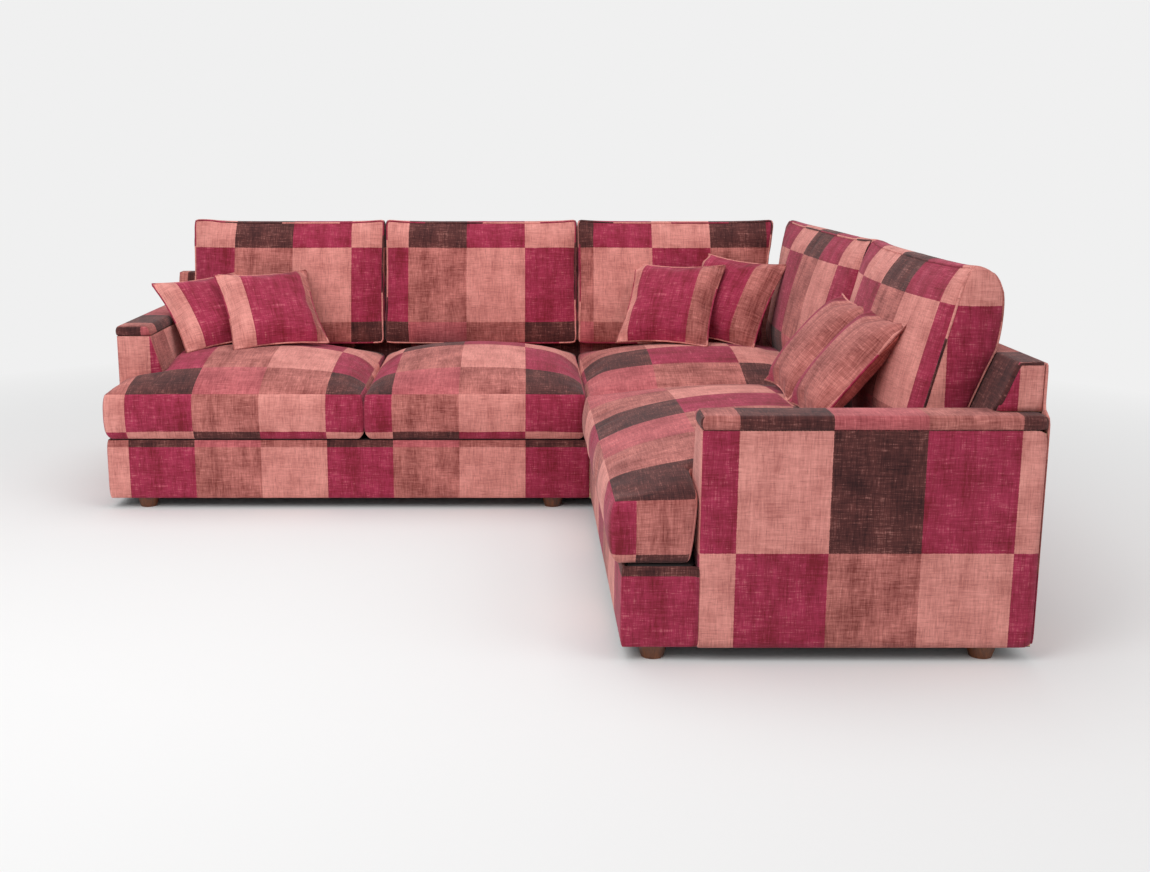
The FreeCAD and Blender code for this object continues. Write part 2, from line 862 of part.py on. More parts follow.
# Bolts and nuts that join the units
joiners = [in_left(joint_bolt_solid(start, ALONG_U)) for start in left_joint]
joiners += [in_right(joint_bolt_solid(start, ALONG_U)) for start in right_joint]
joiner_nuts = [in_left(joint_nut_solid(start, ALONG_U)) for start in left_joint]
joiner_nuts += [in_right(joint_nut_solid(start, ALONG_U)) for start in right_joint]
save("unit_joining_bolts", joiners, lambda solid: solid)
save("unit_joining_nuts", joiner_nuts, lambda solid: solid)

# Seat cushions
half_gap = seat_gap / 2
corner_u = corner_seam - left_length + half_gap
corner_w = right_seam - right_length + half_gap
save("left_seat_cushion", [arm_seat(seam - half_gap, seat_front)], in_left)
save("middle_seat_cushion",
     [plain_seat(seam + half_gap, corner_seam - half_gap, seat_front)], in_left)
save("corner_seat_cushion", [corner_seat_form(corner_u, corner_w)], in_corner)
save("right_seat_cushion", [arm_seat(right_seam - half_gap, right_seat_front)], in_right)

# Back cushions
save("left_back_cushion",
     [back_cushion(cushion_first, seam - half_gap, left_crown_start, left_end_crown)
      .cut(beside_arm())], in_left)
save("middle_back_cushion",
     [back_cushion(seam + cushion_gap, corner_seam - cushion_gap)], in_left)
save("corner_back_cushion",
     [back_cushion(corner_seam + cushion_gap, corner_back_end)], in_left)
save("corner_side_back_cushion",
     [back_cushion(right_back_seam + cushion_gap, right_length + corner_back_far)], in_right)
save("right_back_cushion",
     [back_cushion(right_cushion_first, right_back_seam - cushion_gap)], in_right)

# Scatter cushions: each one's centre, then its turn, lean back and roll in degrees.
# A centre stands so far along, in front of the back cushions' foot, and above the seats' crown
# or the arm.
seat_top = seat_bottom + seat_crown
side_face = left_length + cushion_front
right_first = right_back_seam - right_length - 185.0
scatter_poses = {
    "scatter_cushion_on_left_arm": (
        (cushion_first + 135.0, cushion_front - 149.0, arm_height + 7.1), 30.0, 50.0, -7.0),
    "scatter_cushion_left": (
        (cushion_first + 351.0, cushion_front - 169.5, seat_top + 132.6), 25.0, 45.5, -1.0),
    "scatter_cushion_corner_left": (
        (side_face - 377.0, cushion_front - 119.5, seat_top + 145.2), -26.5, 38.5, -1.5),
    "scatter_cushion_corner_right": (
        (side_face - 160.0, cushion_front - 112.6, seat_top + 158.3), -37.0, 33.0, 5.0),
    "scatter_cushion_right_back": (
        (side_face - 59.5, right_first, seat_top + 142.0), -90.0, 40.0, 0.0),
    "scatter_cushion_right_front": (
        (side_face - 61.1, right_first - scatter - 3.0, seat_top + 142.2), -90.0, 40.0, 0.0),
}
plain_pillow = pillow()
for scatter_name, (spot, turn, lean, roll) in scatter_poses.items():
    save(scatter_name, [posed(plain_pillow, spot, turn, lean, roll)], in_left)
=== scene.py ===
import json
import math

import bmesh
import bpy
import numpy as np
from mathutils import Matrix, Vector


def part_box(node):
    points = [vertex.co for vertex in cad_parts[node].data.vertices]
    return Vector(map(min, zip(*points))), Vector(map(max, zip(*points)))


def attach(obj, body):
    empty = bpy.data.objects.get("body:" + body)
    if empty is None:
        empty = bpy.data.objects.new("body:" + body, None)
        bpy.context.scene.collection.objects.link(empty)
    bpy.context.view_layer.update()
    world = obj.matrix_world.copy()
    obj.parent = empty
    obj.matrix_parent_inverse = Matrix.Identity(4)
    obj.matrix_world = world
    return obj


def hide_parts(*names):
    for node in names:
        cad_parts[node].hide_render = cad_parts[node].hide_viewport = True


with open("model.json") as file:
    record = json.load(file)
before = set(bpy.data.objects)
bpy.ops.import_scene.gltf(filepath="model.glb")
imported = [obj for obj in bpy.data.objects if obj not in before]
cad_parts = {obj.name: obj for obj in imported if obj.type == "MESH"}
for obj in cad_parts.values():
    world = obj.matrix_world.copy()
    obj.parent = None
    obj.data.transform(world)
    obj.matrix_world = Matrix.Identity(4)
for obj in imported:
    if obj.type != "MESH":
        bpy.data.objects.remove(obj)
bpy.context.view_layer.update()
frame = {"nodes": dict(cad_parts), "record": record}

bl_info = {
    "name": "Corner Sofa in Patchwork Linen",
    "version": (1, 0, 0),
    "blender": (4, 5, 0),
    "location": "View3D > Sidebar > Sofa",
    "description": "Dresses the frame of a corner sofa with cushions, covers, piping, lining and wood",
    "category": "Object",
}

# Where the three units stand, read from the frame
LEFT_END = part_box("left_arm_cap")[0].x
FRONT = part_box("left_unit_front_border")[0].y
CORNER_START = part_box("corner_unit_deck_lining")[0].x
NEAR_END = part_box("right_arm_cap")[0].y
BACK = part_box("left_unit_outside_back")[1].y
LEFT_LENGTH = CORNER_START - LEFT_END
RIGHT_LENGTH = FRONT - NEAR_END
DEPTH = BACK - FRONT

# Heights, read from the frame
BASE_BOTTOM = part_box("left_unit_front_border")[0].z
BASE_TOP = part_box("left_unit_front_border")[1].z
ARM_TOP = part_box("left_arm_cap")[0].z
ARM_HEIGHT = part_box("left_arm_cap")[1].z
BACK_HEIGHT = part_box("left_unit_outside_back")[1].z
SEAT_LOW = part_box("middle_seat_cushion")[0].z
SEAT_CROWN = SEAT_LOW + 0.247
BACK_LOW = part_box("middle_back_cushion")[0].z
BACK_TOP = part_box("middle_back_cushion")[1].z

# Slopes and walls of the upholstered frame, in metres
SKIN = 0.008
WALL = 0.006
ARM_WIDTH = 0.112
ARM_SLOPE = 0.30
ARM_SETBACK = 0.183
ARM_OUTER = 0.003
BACK_WIDTH = 0.070
BACK_SLOPE = 0.4065
BACK_INSET = 0.045
INNER_DEPTH = DEPTH - SKIN

# Seat cushions: height of the border's seam in front and at the back, where the top ends, where it is highest,
# and behind what depth the cover lies still under the back cushions
BORDER_TOP = 0.397
TAIL_TOP = 0.412
SEAT_BACK_EDGE = 0.850
SEAT_PEAK = 0.345
SEAT_STILL = 0.62
SEAT_FRONT = -0.012
TURNED_SEAT_FRONT = -0.024

# Where seat cushions start and end along their runs
SEAT_START = 0.003
LEFT_SEAT_END = 0.876
MIDDLE_SEAT = (0.878, 1.625)
RIGHT_SEAT_END = 1.341

# Back cushions: depth of their foot, lean of their front, and how full it is
BACK_FOOT = 0.706
BACK_LEAN = 0.2495
BELLY = 0.022

# Scatter cushions: side and thickness
PILLOW = 0.362
PILLOW_THICK = 0.104

# The printed cloth: width and length of a block, and the length of its rows where it is cut otherwise
BLOCK = 0.2236
ROW = 0.290
BORDER_ROW = 0.278
TURNED_ROW = 0.300
SCATTER_ROW = 0.420
ROW_START = 0.165
TURNED_ROW_START = 0.226

# Seams between blocks along each run, in the frame of its unit, and the number of the block after each
LONG_RUN = (0.0791, 0)
CORNER_RUN = (1.6890, 2)
RETURN_RUN = (0.8790, 0)
SIDE_RUN = (1.4960, 2)
RIGHT_RUN = (1.1520, 2)

# Heights at which the cloth changes rows on seat borders, base borders and back cushions
SEAT_STRIP = 0.269
BASE_BAND = 0.215
LONG_BACK_LINE = 0.825
RETURN_BACK_LINE = 0.835

# Arms: the first seam on the outer panel, the blocks' width there, and the line between its two rows
ARM_SEAM = 0.271
ARM_BLOCK = 0.2185
ARM_LINE = 0.267


def arm_inner(z):
    """Inner face of an arm at height z, from the arm's outer plane."""
    return ARM_WIDTH + ARM_SLOPE * (ARM_HEIGHT - z)


def back_inner(z):
    """Inner face of an upholstered back at height z, from the unit's front."""
    return DEPTH - BACK_WIDTH - BACK_SLOPE * (BACK_HEIGHT - z)


def unit_frame(x, y, turned=False):
    """From a unit's frame (along, deep, up) to the sofa's; the length of a turned one runs back."""
    order = [1, 0, 2] if turned else [0, 1, 2]
    return lambda p: p[:, order] + (x, y, 0)


in_left = unit_frame(LEFT_END, FRONT)
in_corner = unit_frame(CORNER_START, FRONT)
in_right = unit_frame(CORNER_START, NEAR_END, turned=True)
in_corner_side = unit_frame(CORNER_START, FRONT, turned=True)

# The units with an arm: frame, length, seams along the run, and whether it is turned
ARMED_UNITS = {
    "left": (in_left, LEFT_LENGTH, LONG_RUN, False),
    "right": (in_right, RIGHT_LENGTH, RETURN_RUN, True),
}


def sizes():
    """The sizes that a user can change."""
    return bpy.context.scene.sofa_sizes


# ---- Meshes
def spaced(a, b, step):
    """Even stations from a to b, about a step apart."""
    return list(np.linspace(a, b, max(2, int(round(abs(b - a) / step)) + 1)))


def part(x, start, end):
    """How far x has come from start to end, from 0 to 1."""
    return np.clip((x - start) / (end - start), 0, 1)


def stepped(a, turn, b, step):
    """Even stations from a to b through a turn, and the turn's number."""
    first = spaced(a, turn, step)
    return first + spaced(turn, b, step)[1:], len(first) - 1


def prism(us, ws, zs, keep):
    """A block with a grid on every side: points, quads, and the side that each quad is on."""
    cells = {(i, j) for i in range(len(us) - 1) for j in range(len(ws) - 1) if keep(i, j)}
    points, number = [], {}

    def at(i, j, k):
        key = (i, j, k)
        if key not in number:
            number[key] = len(points)
            points.append((us[i], ws[j], zs[k]))
        return number[key]

    quads, sides = [], []
    high = len(zs) - 1
    for i, j in sorted(cells):
        quads.append((at(i, j, high), at(i + 1, j, high), at(i + 1, j + 1, high), at(i, j + 1, high)))
        sides.append("top")
        quads.append((at(i, j, 0), at(i, j + 1, 0), at(i + 1, j + 1, 0), at(i + 1, j, 0)))
        sides.append("bottom")
        walls = (((i - 1, j), (i, j + 1), (i, j), "start"), ((i + 1, j), (i + 1, j), (i + 1, j + 1), "end"),
                 ((i, j - 1), (i, j), (i + 1, j), "front"), ((i, j + 1), (i + 1, j + 1), (i, j + 1), "rear"))
        for beside, p, q, side in walls:
            if beside in cells:
                continue
            for k in range(high):
                quads.append((at(*p, k), at(*q, k), at(*q, k + 1), at(*p, k + 1)))
                sides.append(side)
    return np.array(points), quads, sides


class Piece:
    """A mesh in the making, in its unit's frame, with cloth coordinates on each corner."""

    def __init__(self, name, us, ws, zs, keep=lambda i, j: True, drop=()):
        self.name = name
        grid, quads, sides = prism(us, ws, zs, keep)
        chosen = [n for n, side in enumerate(sides) if side not in drop]
        used = sorted({v for n in chosen for v in quads[n]})
        renumber = {v: n for n, v in enumerate(used)}
        self.grid = grid[used]
        self.quads = [tuple(renumber[v] for v in quads[n]) for n in chosen]
        self.sides = [sides[n] for n in chosen]

    def cloth(self, rules):
        """Cloth coordinates by side: each rule takes points and gives block and row numbers."""
        corners = np.array(self.quads)
        self.uv = np.zeros(corners.shape + (2,))
        tags = np.array(self.sides)
        for side in set(self.sides):
            rule = rules.get(side, rules["else"])
            here = tags == side
            p = self.p[corners[here]].reshape(-1, 3)
            u, v = rule(p)
            self.uv[here] = np.column_stack([np.broadcast_to(u, len(p)), np.broadcast_to(v, len(p))]).reshape(-1, 4, 2)

    def build(self, u, w, z, rules, place):
        """The mesh object in the sofa's frame, from its points' places and its cloth rules."""
        self.p = np.column_stack([u, w, z])
        self.cloth(rules)
        return finished(self.name, place(self.p), self.quads, self.uv)


def finished(name, points, quads, uv):
    """An object with its cloth coordinates, outward faces and smooth shading."""
    mesh = bpy.data.meshes.new(name)
    mesh.from_pydata(points.tolist(), [], quads)
    mesh.uv_layers.new(name="cloth").data.foreach_set("uv", np.ravel(uv))
    work = bmesh.new()
    work.from_mesh(mesh)
    bmesh.ops.recalc_face_normals(work, faces=work.faces)
    work.to_mesh(mesh)
    work.free()
    mesh.polygons.foreach_set("use_smooth", [True] * len(mesh.polygons))
    piece = bpy.data.objects.new(name, mesh)
    bpy.context.scene.collection.objects.link(piece)
    return piece


def only(piece):
    """Select one object and make it active."""
    bpy.ops.object.select_all(action="DESELECT")
    piece.select_set(True)
    bpy.context.view_layer.objects.active = piece


def modify(piece, kind, **settings):
    """Add a modifier and apply it."""
    only(piece)
    modifier = piece.modifiers.new(kind.lower(), kind)
    for key, value in settings.items():
        setattr(modifier, key, value)
    bpy.ops.object.modifier_apply(modifier=modifier.name)


def smoothed(piece):
    """Subdivide a piece once."""
    modify(piece, "SUBSURF", levels=1, render_levels=1, uv_smooth="PRESERVE_BOUNDARIES")


# How the covers' cloth behaves while it is blown up, and for how many frames
COVER_CLOTH = {
    "quality": 4, "mass": 0.4, "tension_stiffness": 12, "compression_stiffness": 12, "shear_stiffness": 4,
    "bending_stiffness": 0.6, "use_pressure": True, "vertex_group_mass": "held", "pin_stiffness": 6,
}
FRAMES = 14


def puffed(piece, hold, pressure, reach, slack):
    """Blow the cover up: cloth under pressure from inside, held where it is sewn or rests on something."""
    only(piece)
    start = np.array([v.co for v in piece.data.vertices])
    group = piece.vertex_groups.new(name="held")
    for index, weight in enumerate(hold):
        if weight > 0:
            group.add([index], float(weight), "REPLACE")
    cloth = piece.modifiers.new("cloth", "CLOTH")
    for key, value in COVER_CLOTH.items():
        setattr(cloth.settings, key, value)
    cloth.settings.uniform_pressure_force = pressure
    cloth.settings.shrink_min = slack
    cloth.settings.effector_weights.gravity = 0
    cloth.collision_settings.use_collision = False
    cloth.point_cache.frame_start = 1
    cloth.point_cache.frame_end = FRAMES
    scene = bpy.context.scene
    for number in range(1, FRAMES + 1):
        scene.frame_set(number)
    shape = piece.evaluated_get(bpy.context.evaluated_depsgraph_get()).to_mesh()
    end = np.array([v.co for v in shape.vertices])
    piece.modifiers.remove(cloth)
    piece.vertex_groups.clear()
    scene.frame_set(1)
    move = end - start
    length = np.linalg.norm(move, axis=1, keepdims=True)
    move *= np.minimum(1, reach / np.maximum(length, 1e-9))
    piece.data.vertices.foreach_set("co", (start + move).ravel())
    piece.data.update()


def tube(name, points, radius, first, row, sides=8):
    """A closed cord of self fabric along a loop of points, from a block number and in a row."""
    p = np.asarray(points)
    count = len(p)
    ways = np.roll(p, -1, 0) - np.roll(p, 1, 0)
    ways /= np.linalg.norm(ways, axis=1, keepdims=True)
    normal = np.zeros_like(p)
    guess = Vector((0.3, 0.5, 0.8))
    for n in range(count):
        axis = Vector(ways[n])
        guess = (guess - axis * guess.dot(axis)).normalized()
        normal[n] = guess
    other = np.cross(ways, normal)
    turns = np.linspace(0, 2 * math.pi, sides, endpoint=False)
    rings = [p + radius * (math.cos(t) * normal + math.sin(t) * other) for t in turns]
    verts = np.stack(rings, 1).reshape(-1, 3)
    length = np.concatenate([[0], np.cumsum(np.linalg.norm(np.roll(p, -1, 0) - p, axis=1))]) / sizes().block
    quads, uv = [], []
    for n in range(count):
        m = (n + 1) % count
        for s in range(sides):
            t = (s + 1) % sides
            quads.append((n * sides + s, n * sides + t, m * sides + t, m * sides + s))
            v0, v1 = row + 0.03 * s / sides, row + 0.03 * (s + 1) / sides
            u0, u1 = first + length[n], first + length[n + 1]
            uv += [(u0, v0), (u0, v1), (u1, v1), (u1, v0)]
    return finished(name, verts, quads, uv)


def even(points, step):
    """A closed loop of points, spaced evenly."""
    p = np.vstack([points, points[:1]])
    length = np.concatenate([[0], np.cumsum(np.linalg.norm(np.diff(p, axis=0), axis=1))])
    stations = np.linspace(0, length[-1], max(12, int(length[-1] / step)), endpoint=False)
    return np.column_stack([np.interp(stations, length, p[:, n]) for n in range(3)])


# ---- Materials
class Socket:
    """A node's output that takes part in sums, products and comparisons."""

    def __init__(self, sheet, out):
        self.sheet, self.out = sheet, out

    def math(self, operation, *others):
        return self.sheet.node("ShaderNodeMath", {"operation": operation}, [self, *others])

    def after(self, operation, first):
        return self.sheet.node("ShaderNodeMath", {"operation": operation}, [first, self])

    def __add__(self, other):
        return self.math("ADD", other)

    def __sub__(self, other):
        return self.math("SUBTRACT", other)

    def __mul__(self, other):
        return self.math("MULTIPLY", other)

    def __truediv__(self, other):
        return self.math("DIVIDE", other)

    def __rsub__(self, other):
        return self.after("SUBTRACT", other)

    def __rtruediv__(self, other):
        return self.after("DIVIDE", other)

    __radd__, __rmul__ = __add__, __mul__


class Sheet:
    """A material's nodes."""

    def __init__(self, name, tree=None):
        if tree is None:
            self.material = bpy.data.materials.new(name)
            self.material.use_nodes = True
            self.shader = self.material.node_tree.nodes["Principled BSDF"]
            tree = self.material.node_tree
        self.tree = tree

    def node(self, kind, settings=None, values=None, out=0):
        made = self.tree.nodes.new(kind)
        for key, value in (settings or {}).items():
            if key == "stops":
                self.steps(made.color_ramp, value)
            else:
                setattr(made, key, value)
        pairs = enumerate(values) if isinstance(values, list) else (values or {}).items()
        for key, value in pairs:
            if isinstance(value, Socket):
                self.tree.links.new(value.out, made.inputs[key])
            else:
                made.inputs[key].default_value = value
        return Socket(self, made.outputs[out])

    def steps(self, ramp, stops):
        """Give a ramp its colours, each of them even up to the next."""
        ramp.interpolation = "CONSTANT"
        while len(ramp.elements) < len(stops):
            ramp.elements.new(0.5)
        for element, (place, colour) in zip(ramp.elements, stops):
            element.position = place
            element.color = (*colour[:3], 1)

    def mix(self, share, a, b):
        """Colours a and b mixed by share."""
        a, b = (colour if isinstance(colour, Socket) else (*colour[:3], 1) for colour in (a, b))
        return self.node("ShaderNodeMix", {"data_type": "RGBA"}, {0: share, 6: a, 7: b}, out=2)

    def place(self):
        """Object coordinates."""
        return self.node("ShaderNodeTexCoord", out="Object")

    def vector(self, x, y, z=0.0):
        return self.node("ShaderNodeCombineXYZ", None, [x, y, z])

    def noise(self, vector, scale=1.0, detail=2.0, rough=0.5, **extra):
        values = {"Vector": vector, "Scale": scale, "Detail": detail, "Roughness": rough}
        values.update(extra)
        return self.node("ShaderNodeTexNoise", {"noise_dimensions": "3D"}, values)

    def remap(self, value, low, high, to_low=0.0, to_high=1.0):
        return self.node("ShaderNodeMapRange", {"clamp": True}, [value, low, high, to_low, to_high])

    def bump(self, height, strength, distance):
        values = {"Strength": strength, "Distance": distance, "Height": height}
        self.feed(Normal=self.node("ShaderNodeBump", None, values))

    def feed(self, **inputs):
        """Values or links of the shader's inputs, with _ for a space in their names."""
        for key, value in inputs.items():
            socket = self.shader.inputs[key.replace("_", " ")]
            if isinstance(value, Socket):
                self.tree.links.new(value.out, socket)
            else:
                socket.default_value = value


def shade(code):
    """Linear colour of a six-figure screen colour."""
    parts = [int(code[n:n + 2], 16) / 255 for n in (0, 2, 4)]
    return tuple(c / 12.92 if c <= 0.04045 else ((c + 0.055) / 1.055) ** 2.4 for c in parts)


# The even pale tone behind the sofa
BACKDROP = shade("F0F0F0")

# The light and the dark tone of each colour that a user can change; the blocks' are their light and dark yarns
TONES = {
    "pink": ("EC9F95", "B97069"), "dark": ("6C3B38", "32181A"), "cerise": ("B4385A", "7C1E2C"),
    "brown": ("CF8078", "7F3D39"), "rose": ("D16F73", "944348"), "lining": ("3A3637", "221F20"),
    "wood": ("7C4420", "4A2410"), "floor": ("EEEEEE", "EAEAEA"),
}

# The three by three blocks of the print, row by row
LAYOUT = ["pink", "dark", "cerise", "cerise", "brown", "pink", "dark", "rose", "brown"]


def tones(kind):
    """A colour as the user set it, and its dark tone, which keeps its share of the light one."""
    light = tuple(getattr(bpy.context.scene.sofa_colours, kind))
    first, dark = (shade(code) for code in TONES[kind])
    return light, tuple(c * d / f for c, d, f in zip(light, dark, first))


def patchwork_linen():
    """Slubbed linen with a printed patchwork of nine blocks, on the piece's own cloth coordinates."""
    s = Sheet("patchwork_linen")
    where = s.node("ShaderNodeUVMap", {"uv_map": "cloth"})
    u, v = (s.node("ShaderNodeSeparateXYZ", None, [where], out=n) for n in (0, 1))
    x, y = u * sizes().block, v * ROW
    u_cell, v_cell = u.math("FLOORED_MODULO", 3.0), v.math("FLOORED_MODULO", 3.0)
    ragged = s.noise(s.vector(x, y), 260, 1) - 0.5
    col = (u + ragged * 0.012).math("FLOOR").math("FLOORED_MODULO", 3.0)
    row = (v + ragged * 0.010).math("FLOOR").math("FLOORED_MODULO", 3.0)
    index = (row * 3.0 + col + 0.5) / 9.0
    light, dark = (s.node("ShaderNodeValToRGB", {"stops": [(n / 9, tones(kind)[tone]) for n, kind in
                                                           enumerate(LAYOUT)]}, [index]) for tone in (0, 1))
    weft = s.noise(s.vector(x * 38, y * 430), 1.0, 3, 0.62)
    warp = s.noise(s.vector(x * 430, y * 38, 3.7), 1.0, 3, 0.62)
    slub = s.noise(s.vector(x * 14, y * 190, 8.1), 1.0, 2, 0.6)
    slub_up = s.noise(s.vector(x * 190, y * 14, 1.4), 1.0, 2, 0.6)
    across = s.noise(s.vector(u_cell * 1.6, v_cell * 4.2, 5.0), 1.0, 3, 0.6)
    upward = s.noise(s.vector(u_cell * 4.2, v_cell * 1.6, 9.0), 1.0, 3, 0.6)
    cloud = across * 0.5 + upward * 0.5
    yarn = weft * 0.26 + warp * 0.26 + slub * 0.24 + slub_up * 0.24
    tone = s.remap(yarn * 0.60 + cloud * 0.40, 0.42, 0.585)
    colour = s.mix(tone, dark, light)
    bare = s.remap(weft * 0.30 + warp * 0.30 + slub * 0.2 + cloud * 0.2, 0.54, 0.66, 0.0, 0.50)
    colour = s.mix(bare, colour, shade("E6A398"))
    gap = s.remap(weft.math("MINIMUM", warp), 0.26, 0.40, 0.30, 0.0)
    colour = s.mix(gap, colour, shade("3A1C1C"))
    s.feed(Base_Color=colour, Roughness=0.92, Specular_IOR_Level=0.2, Sheen_Weight=0.12, Sheen_Roughness=0.5)
    s.bump(weft * 0.5 + warp * 0.5, 0.65, 0.0015)
    return s.material


def lining_cloth():
    """Plain black woven lining."""
    s = Sheet("black_lining")
    place = s.place()
    thread, cross = (s.node("ShaderNodeTexWave", {"wave_type": "BANDS", "bands_direction": way},
                            {"Vector": place, "Scale": 260.0, "Distortion": 1.5}) for way in "XY")
    weave = thread * 0.5 + cross * 0.5
    light, dark = tones("lining")
    s.feed(Base_Color=s.mix(weave, dark, light), Roughness=0.9)
    s.bump(weave, 0.3, 0.0006)
    return s.material


def sawn_timber():
    """Planed softwood of the hidden frame."""
    s = Sheet("sawn_timber")
    place = s.place()
    long_grain = s.node("ShaderNodeMapping", None, {"Vector": place, "Scale": (3.0, 9.0, 34.0)})
    rings = s.node("ShaderNodeTexWave", {"wave_type": "RINGS"},
                   {"Vector": long_grain, "Scale": 0.8, "Distortion": 6.0, "Detail": 3.0})
    fibre = s.noise(long_grain, 14, 4, 0.65)
    tone = s.remap(rings * 0.55 + fibre * 0.45, 0.25, 0.8)
    s.feed(Base_Color=s.mix(tone, shade("C9A57A"), shade("E3C9A0")))
    s.feed(Roughness=s.remap(fibre, 0.3, 0.7, 0.6, 0.8))
    s.bump(fibre, 0.25, 0.001)
    return s.material


def stained_wood():
    """Dark stained, satin finished hardwood of the feet."""
    s = Sheet("stained_foot_wood")
    place = s.place()
    upright = s.node("ShaderNodeMapping", None, {"Vector": place, "Scale": (60.0, 60.0, 9.0)})
    grain = s.noise(upright, 1.0, 5, 0.6, Distortion=1.2)
    pores = s.noise(upright, 6.0, 2, 0.5)
    tone = s.remap(grain * 0.75 + pores * 0.25, 0.35, 0.65)
    light, dark = tones("wood")
    s.feed(Base_Color=s.mix(tone, dark, light), Roughness=s.remap(grain, 0.3, 0.7, 0.34, 0.48))
    s.feed(Coat_Weight=0.25, Coat_Roughness=0.25)
    s.bump(pores, 0.15, 0.0005)
    return s.material


def drawn_steel():
    """Zinc-grey drawn wire and bolts."""
    s = Sheet("drawn_steel")
    place = s.place()
    streak = s.noise(place, 220, 3, 0.6)
    s.feed(Base_Color=s.mix(streak, shade("8E9092"), shade("B9BBBC")), Metallic=1.0)
    s.feed(Roughness=s.remap(streak, 0.3, 0.7, 0.28, 0.45))
    s.bump(streak, 0.1, 0.0003)
    return s.material


def studio_floor():
    """Pale matt floor that fades, away from the sofa, into the even pale tone of the room."""
    s = Sheet("pale_floor")
    place = s.place()
    mottle = s.noise(place, 0.35, 2, 0.5)
    light, dark = tones("floor")
    s.feed(Base_Color=s.mix(mottle, dark, light), Roughness=0.95, Specular_IOR_Level=0.05)
    far = s.remap(s.node("ShaderNodeVectorMath", {"operation": "LENGTH"}, [place], out=1), 1.6, 4.0)
    seen = s.node("ShaderNodeLightPath", out=0)
    glow = s.node("ShaderNodeEmission", None, {"Color": (*BACKDROP, 1), "Strength": 1.0})
    blend = s.node("ShaderNodeMixShader", None, [far * seen, Socket(s, s.shader.outputs[0]), glow])
    out = s.tree.nodes["Material Output"]
    s.tree.links.new(blend.out, out.inputs["Surface"])
    return s.material


MATERIALS = {}


def material(name):
    """A material, made at its first use."""
    makers = {"linen": patchwork_linen, "lining": lining_cloth, "timber": sawn_timber,
              "foot": stained_wood, "steel": drawn_steel, "floor": studio_floor}
    if name not in MATERIALS:
        MATERIALS[name] = makers[name]()
    return MATERIALS[name]


def dress(piece, body, nodes=(), finish="linen"):
    """Material, body, replaced nodes and slot of one finished piece."""
    piece.data.materials.clear()
    piece.data.materials.append(material(finish))
    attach(piece, body)
    if nodes:
        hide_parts(*nodes)
    return piece


def body_of(cushion):
    """The body of a loose cushion, from its node's name."""
    return cushion.replace("_cushion", "")


# ---- Cloth rules: each takes points in a unit's frame and gives block and row numbers
def along(lines, mirror=False):
    """Block number along a run, from the place of one seam and the number after it."""
    at, first = lines
    sign = -1 if mirror else 1
    return lambda p: first + sign * (p[:, 0] - at) / sizes().block


def seat_border_row(p):
    """Row of a seat's border: one row above the fabric line, another below it."""
    return 1 + (p[:, 2] - SEAT_STRIP) / BORDER_ROW


def base_row(p):
    """Row of the base's border, with a band of another row along its top."""
    return 2 + (p[:, 2] - BASE_BAND) / BORDER_ROW


def row_below(p, height, length, first):
    """Row number below a height at which it is first."""
    return first + (height - p[:, 2]) / length


def block_at(p, axis, seam, first=0.0):
    """Block number along an axis, from the place of one seam."""
    return first + (p[:, axis] - seam) / sizes().block


# ---- Seat cushions
def arc(x, first, top, last):
    """Height at x of the circle through three points."""
    (x1, y1), (x2, y2), (x3, y3) = first, top, last
    double = 2 * (x1 * (y2 - y3) + x2 * (y3 - y1) + x3 * (y1 - y2))
    s1, s2, s3 = x1 * x1 + y1 * y1, x2 * x2 + y2 * y2, x3 * x3 + y3 * y3
    cx = (s1 * (y2 - y3) + s2 * (y3 - y1) + s3 * (y1 - y2)) / double
    cy = (s1 * (x3 - x2) + s2 * (x1 - x3) + s3 * (x2 - x1)) / double
    return cy + np.sqrt(np.maximum((x1 - cx) ** 2 + (y1 - cy) ** 2 - (x - cx) ** 2, 0))


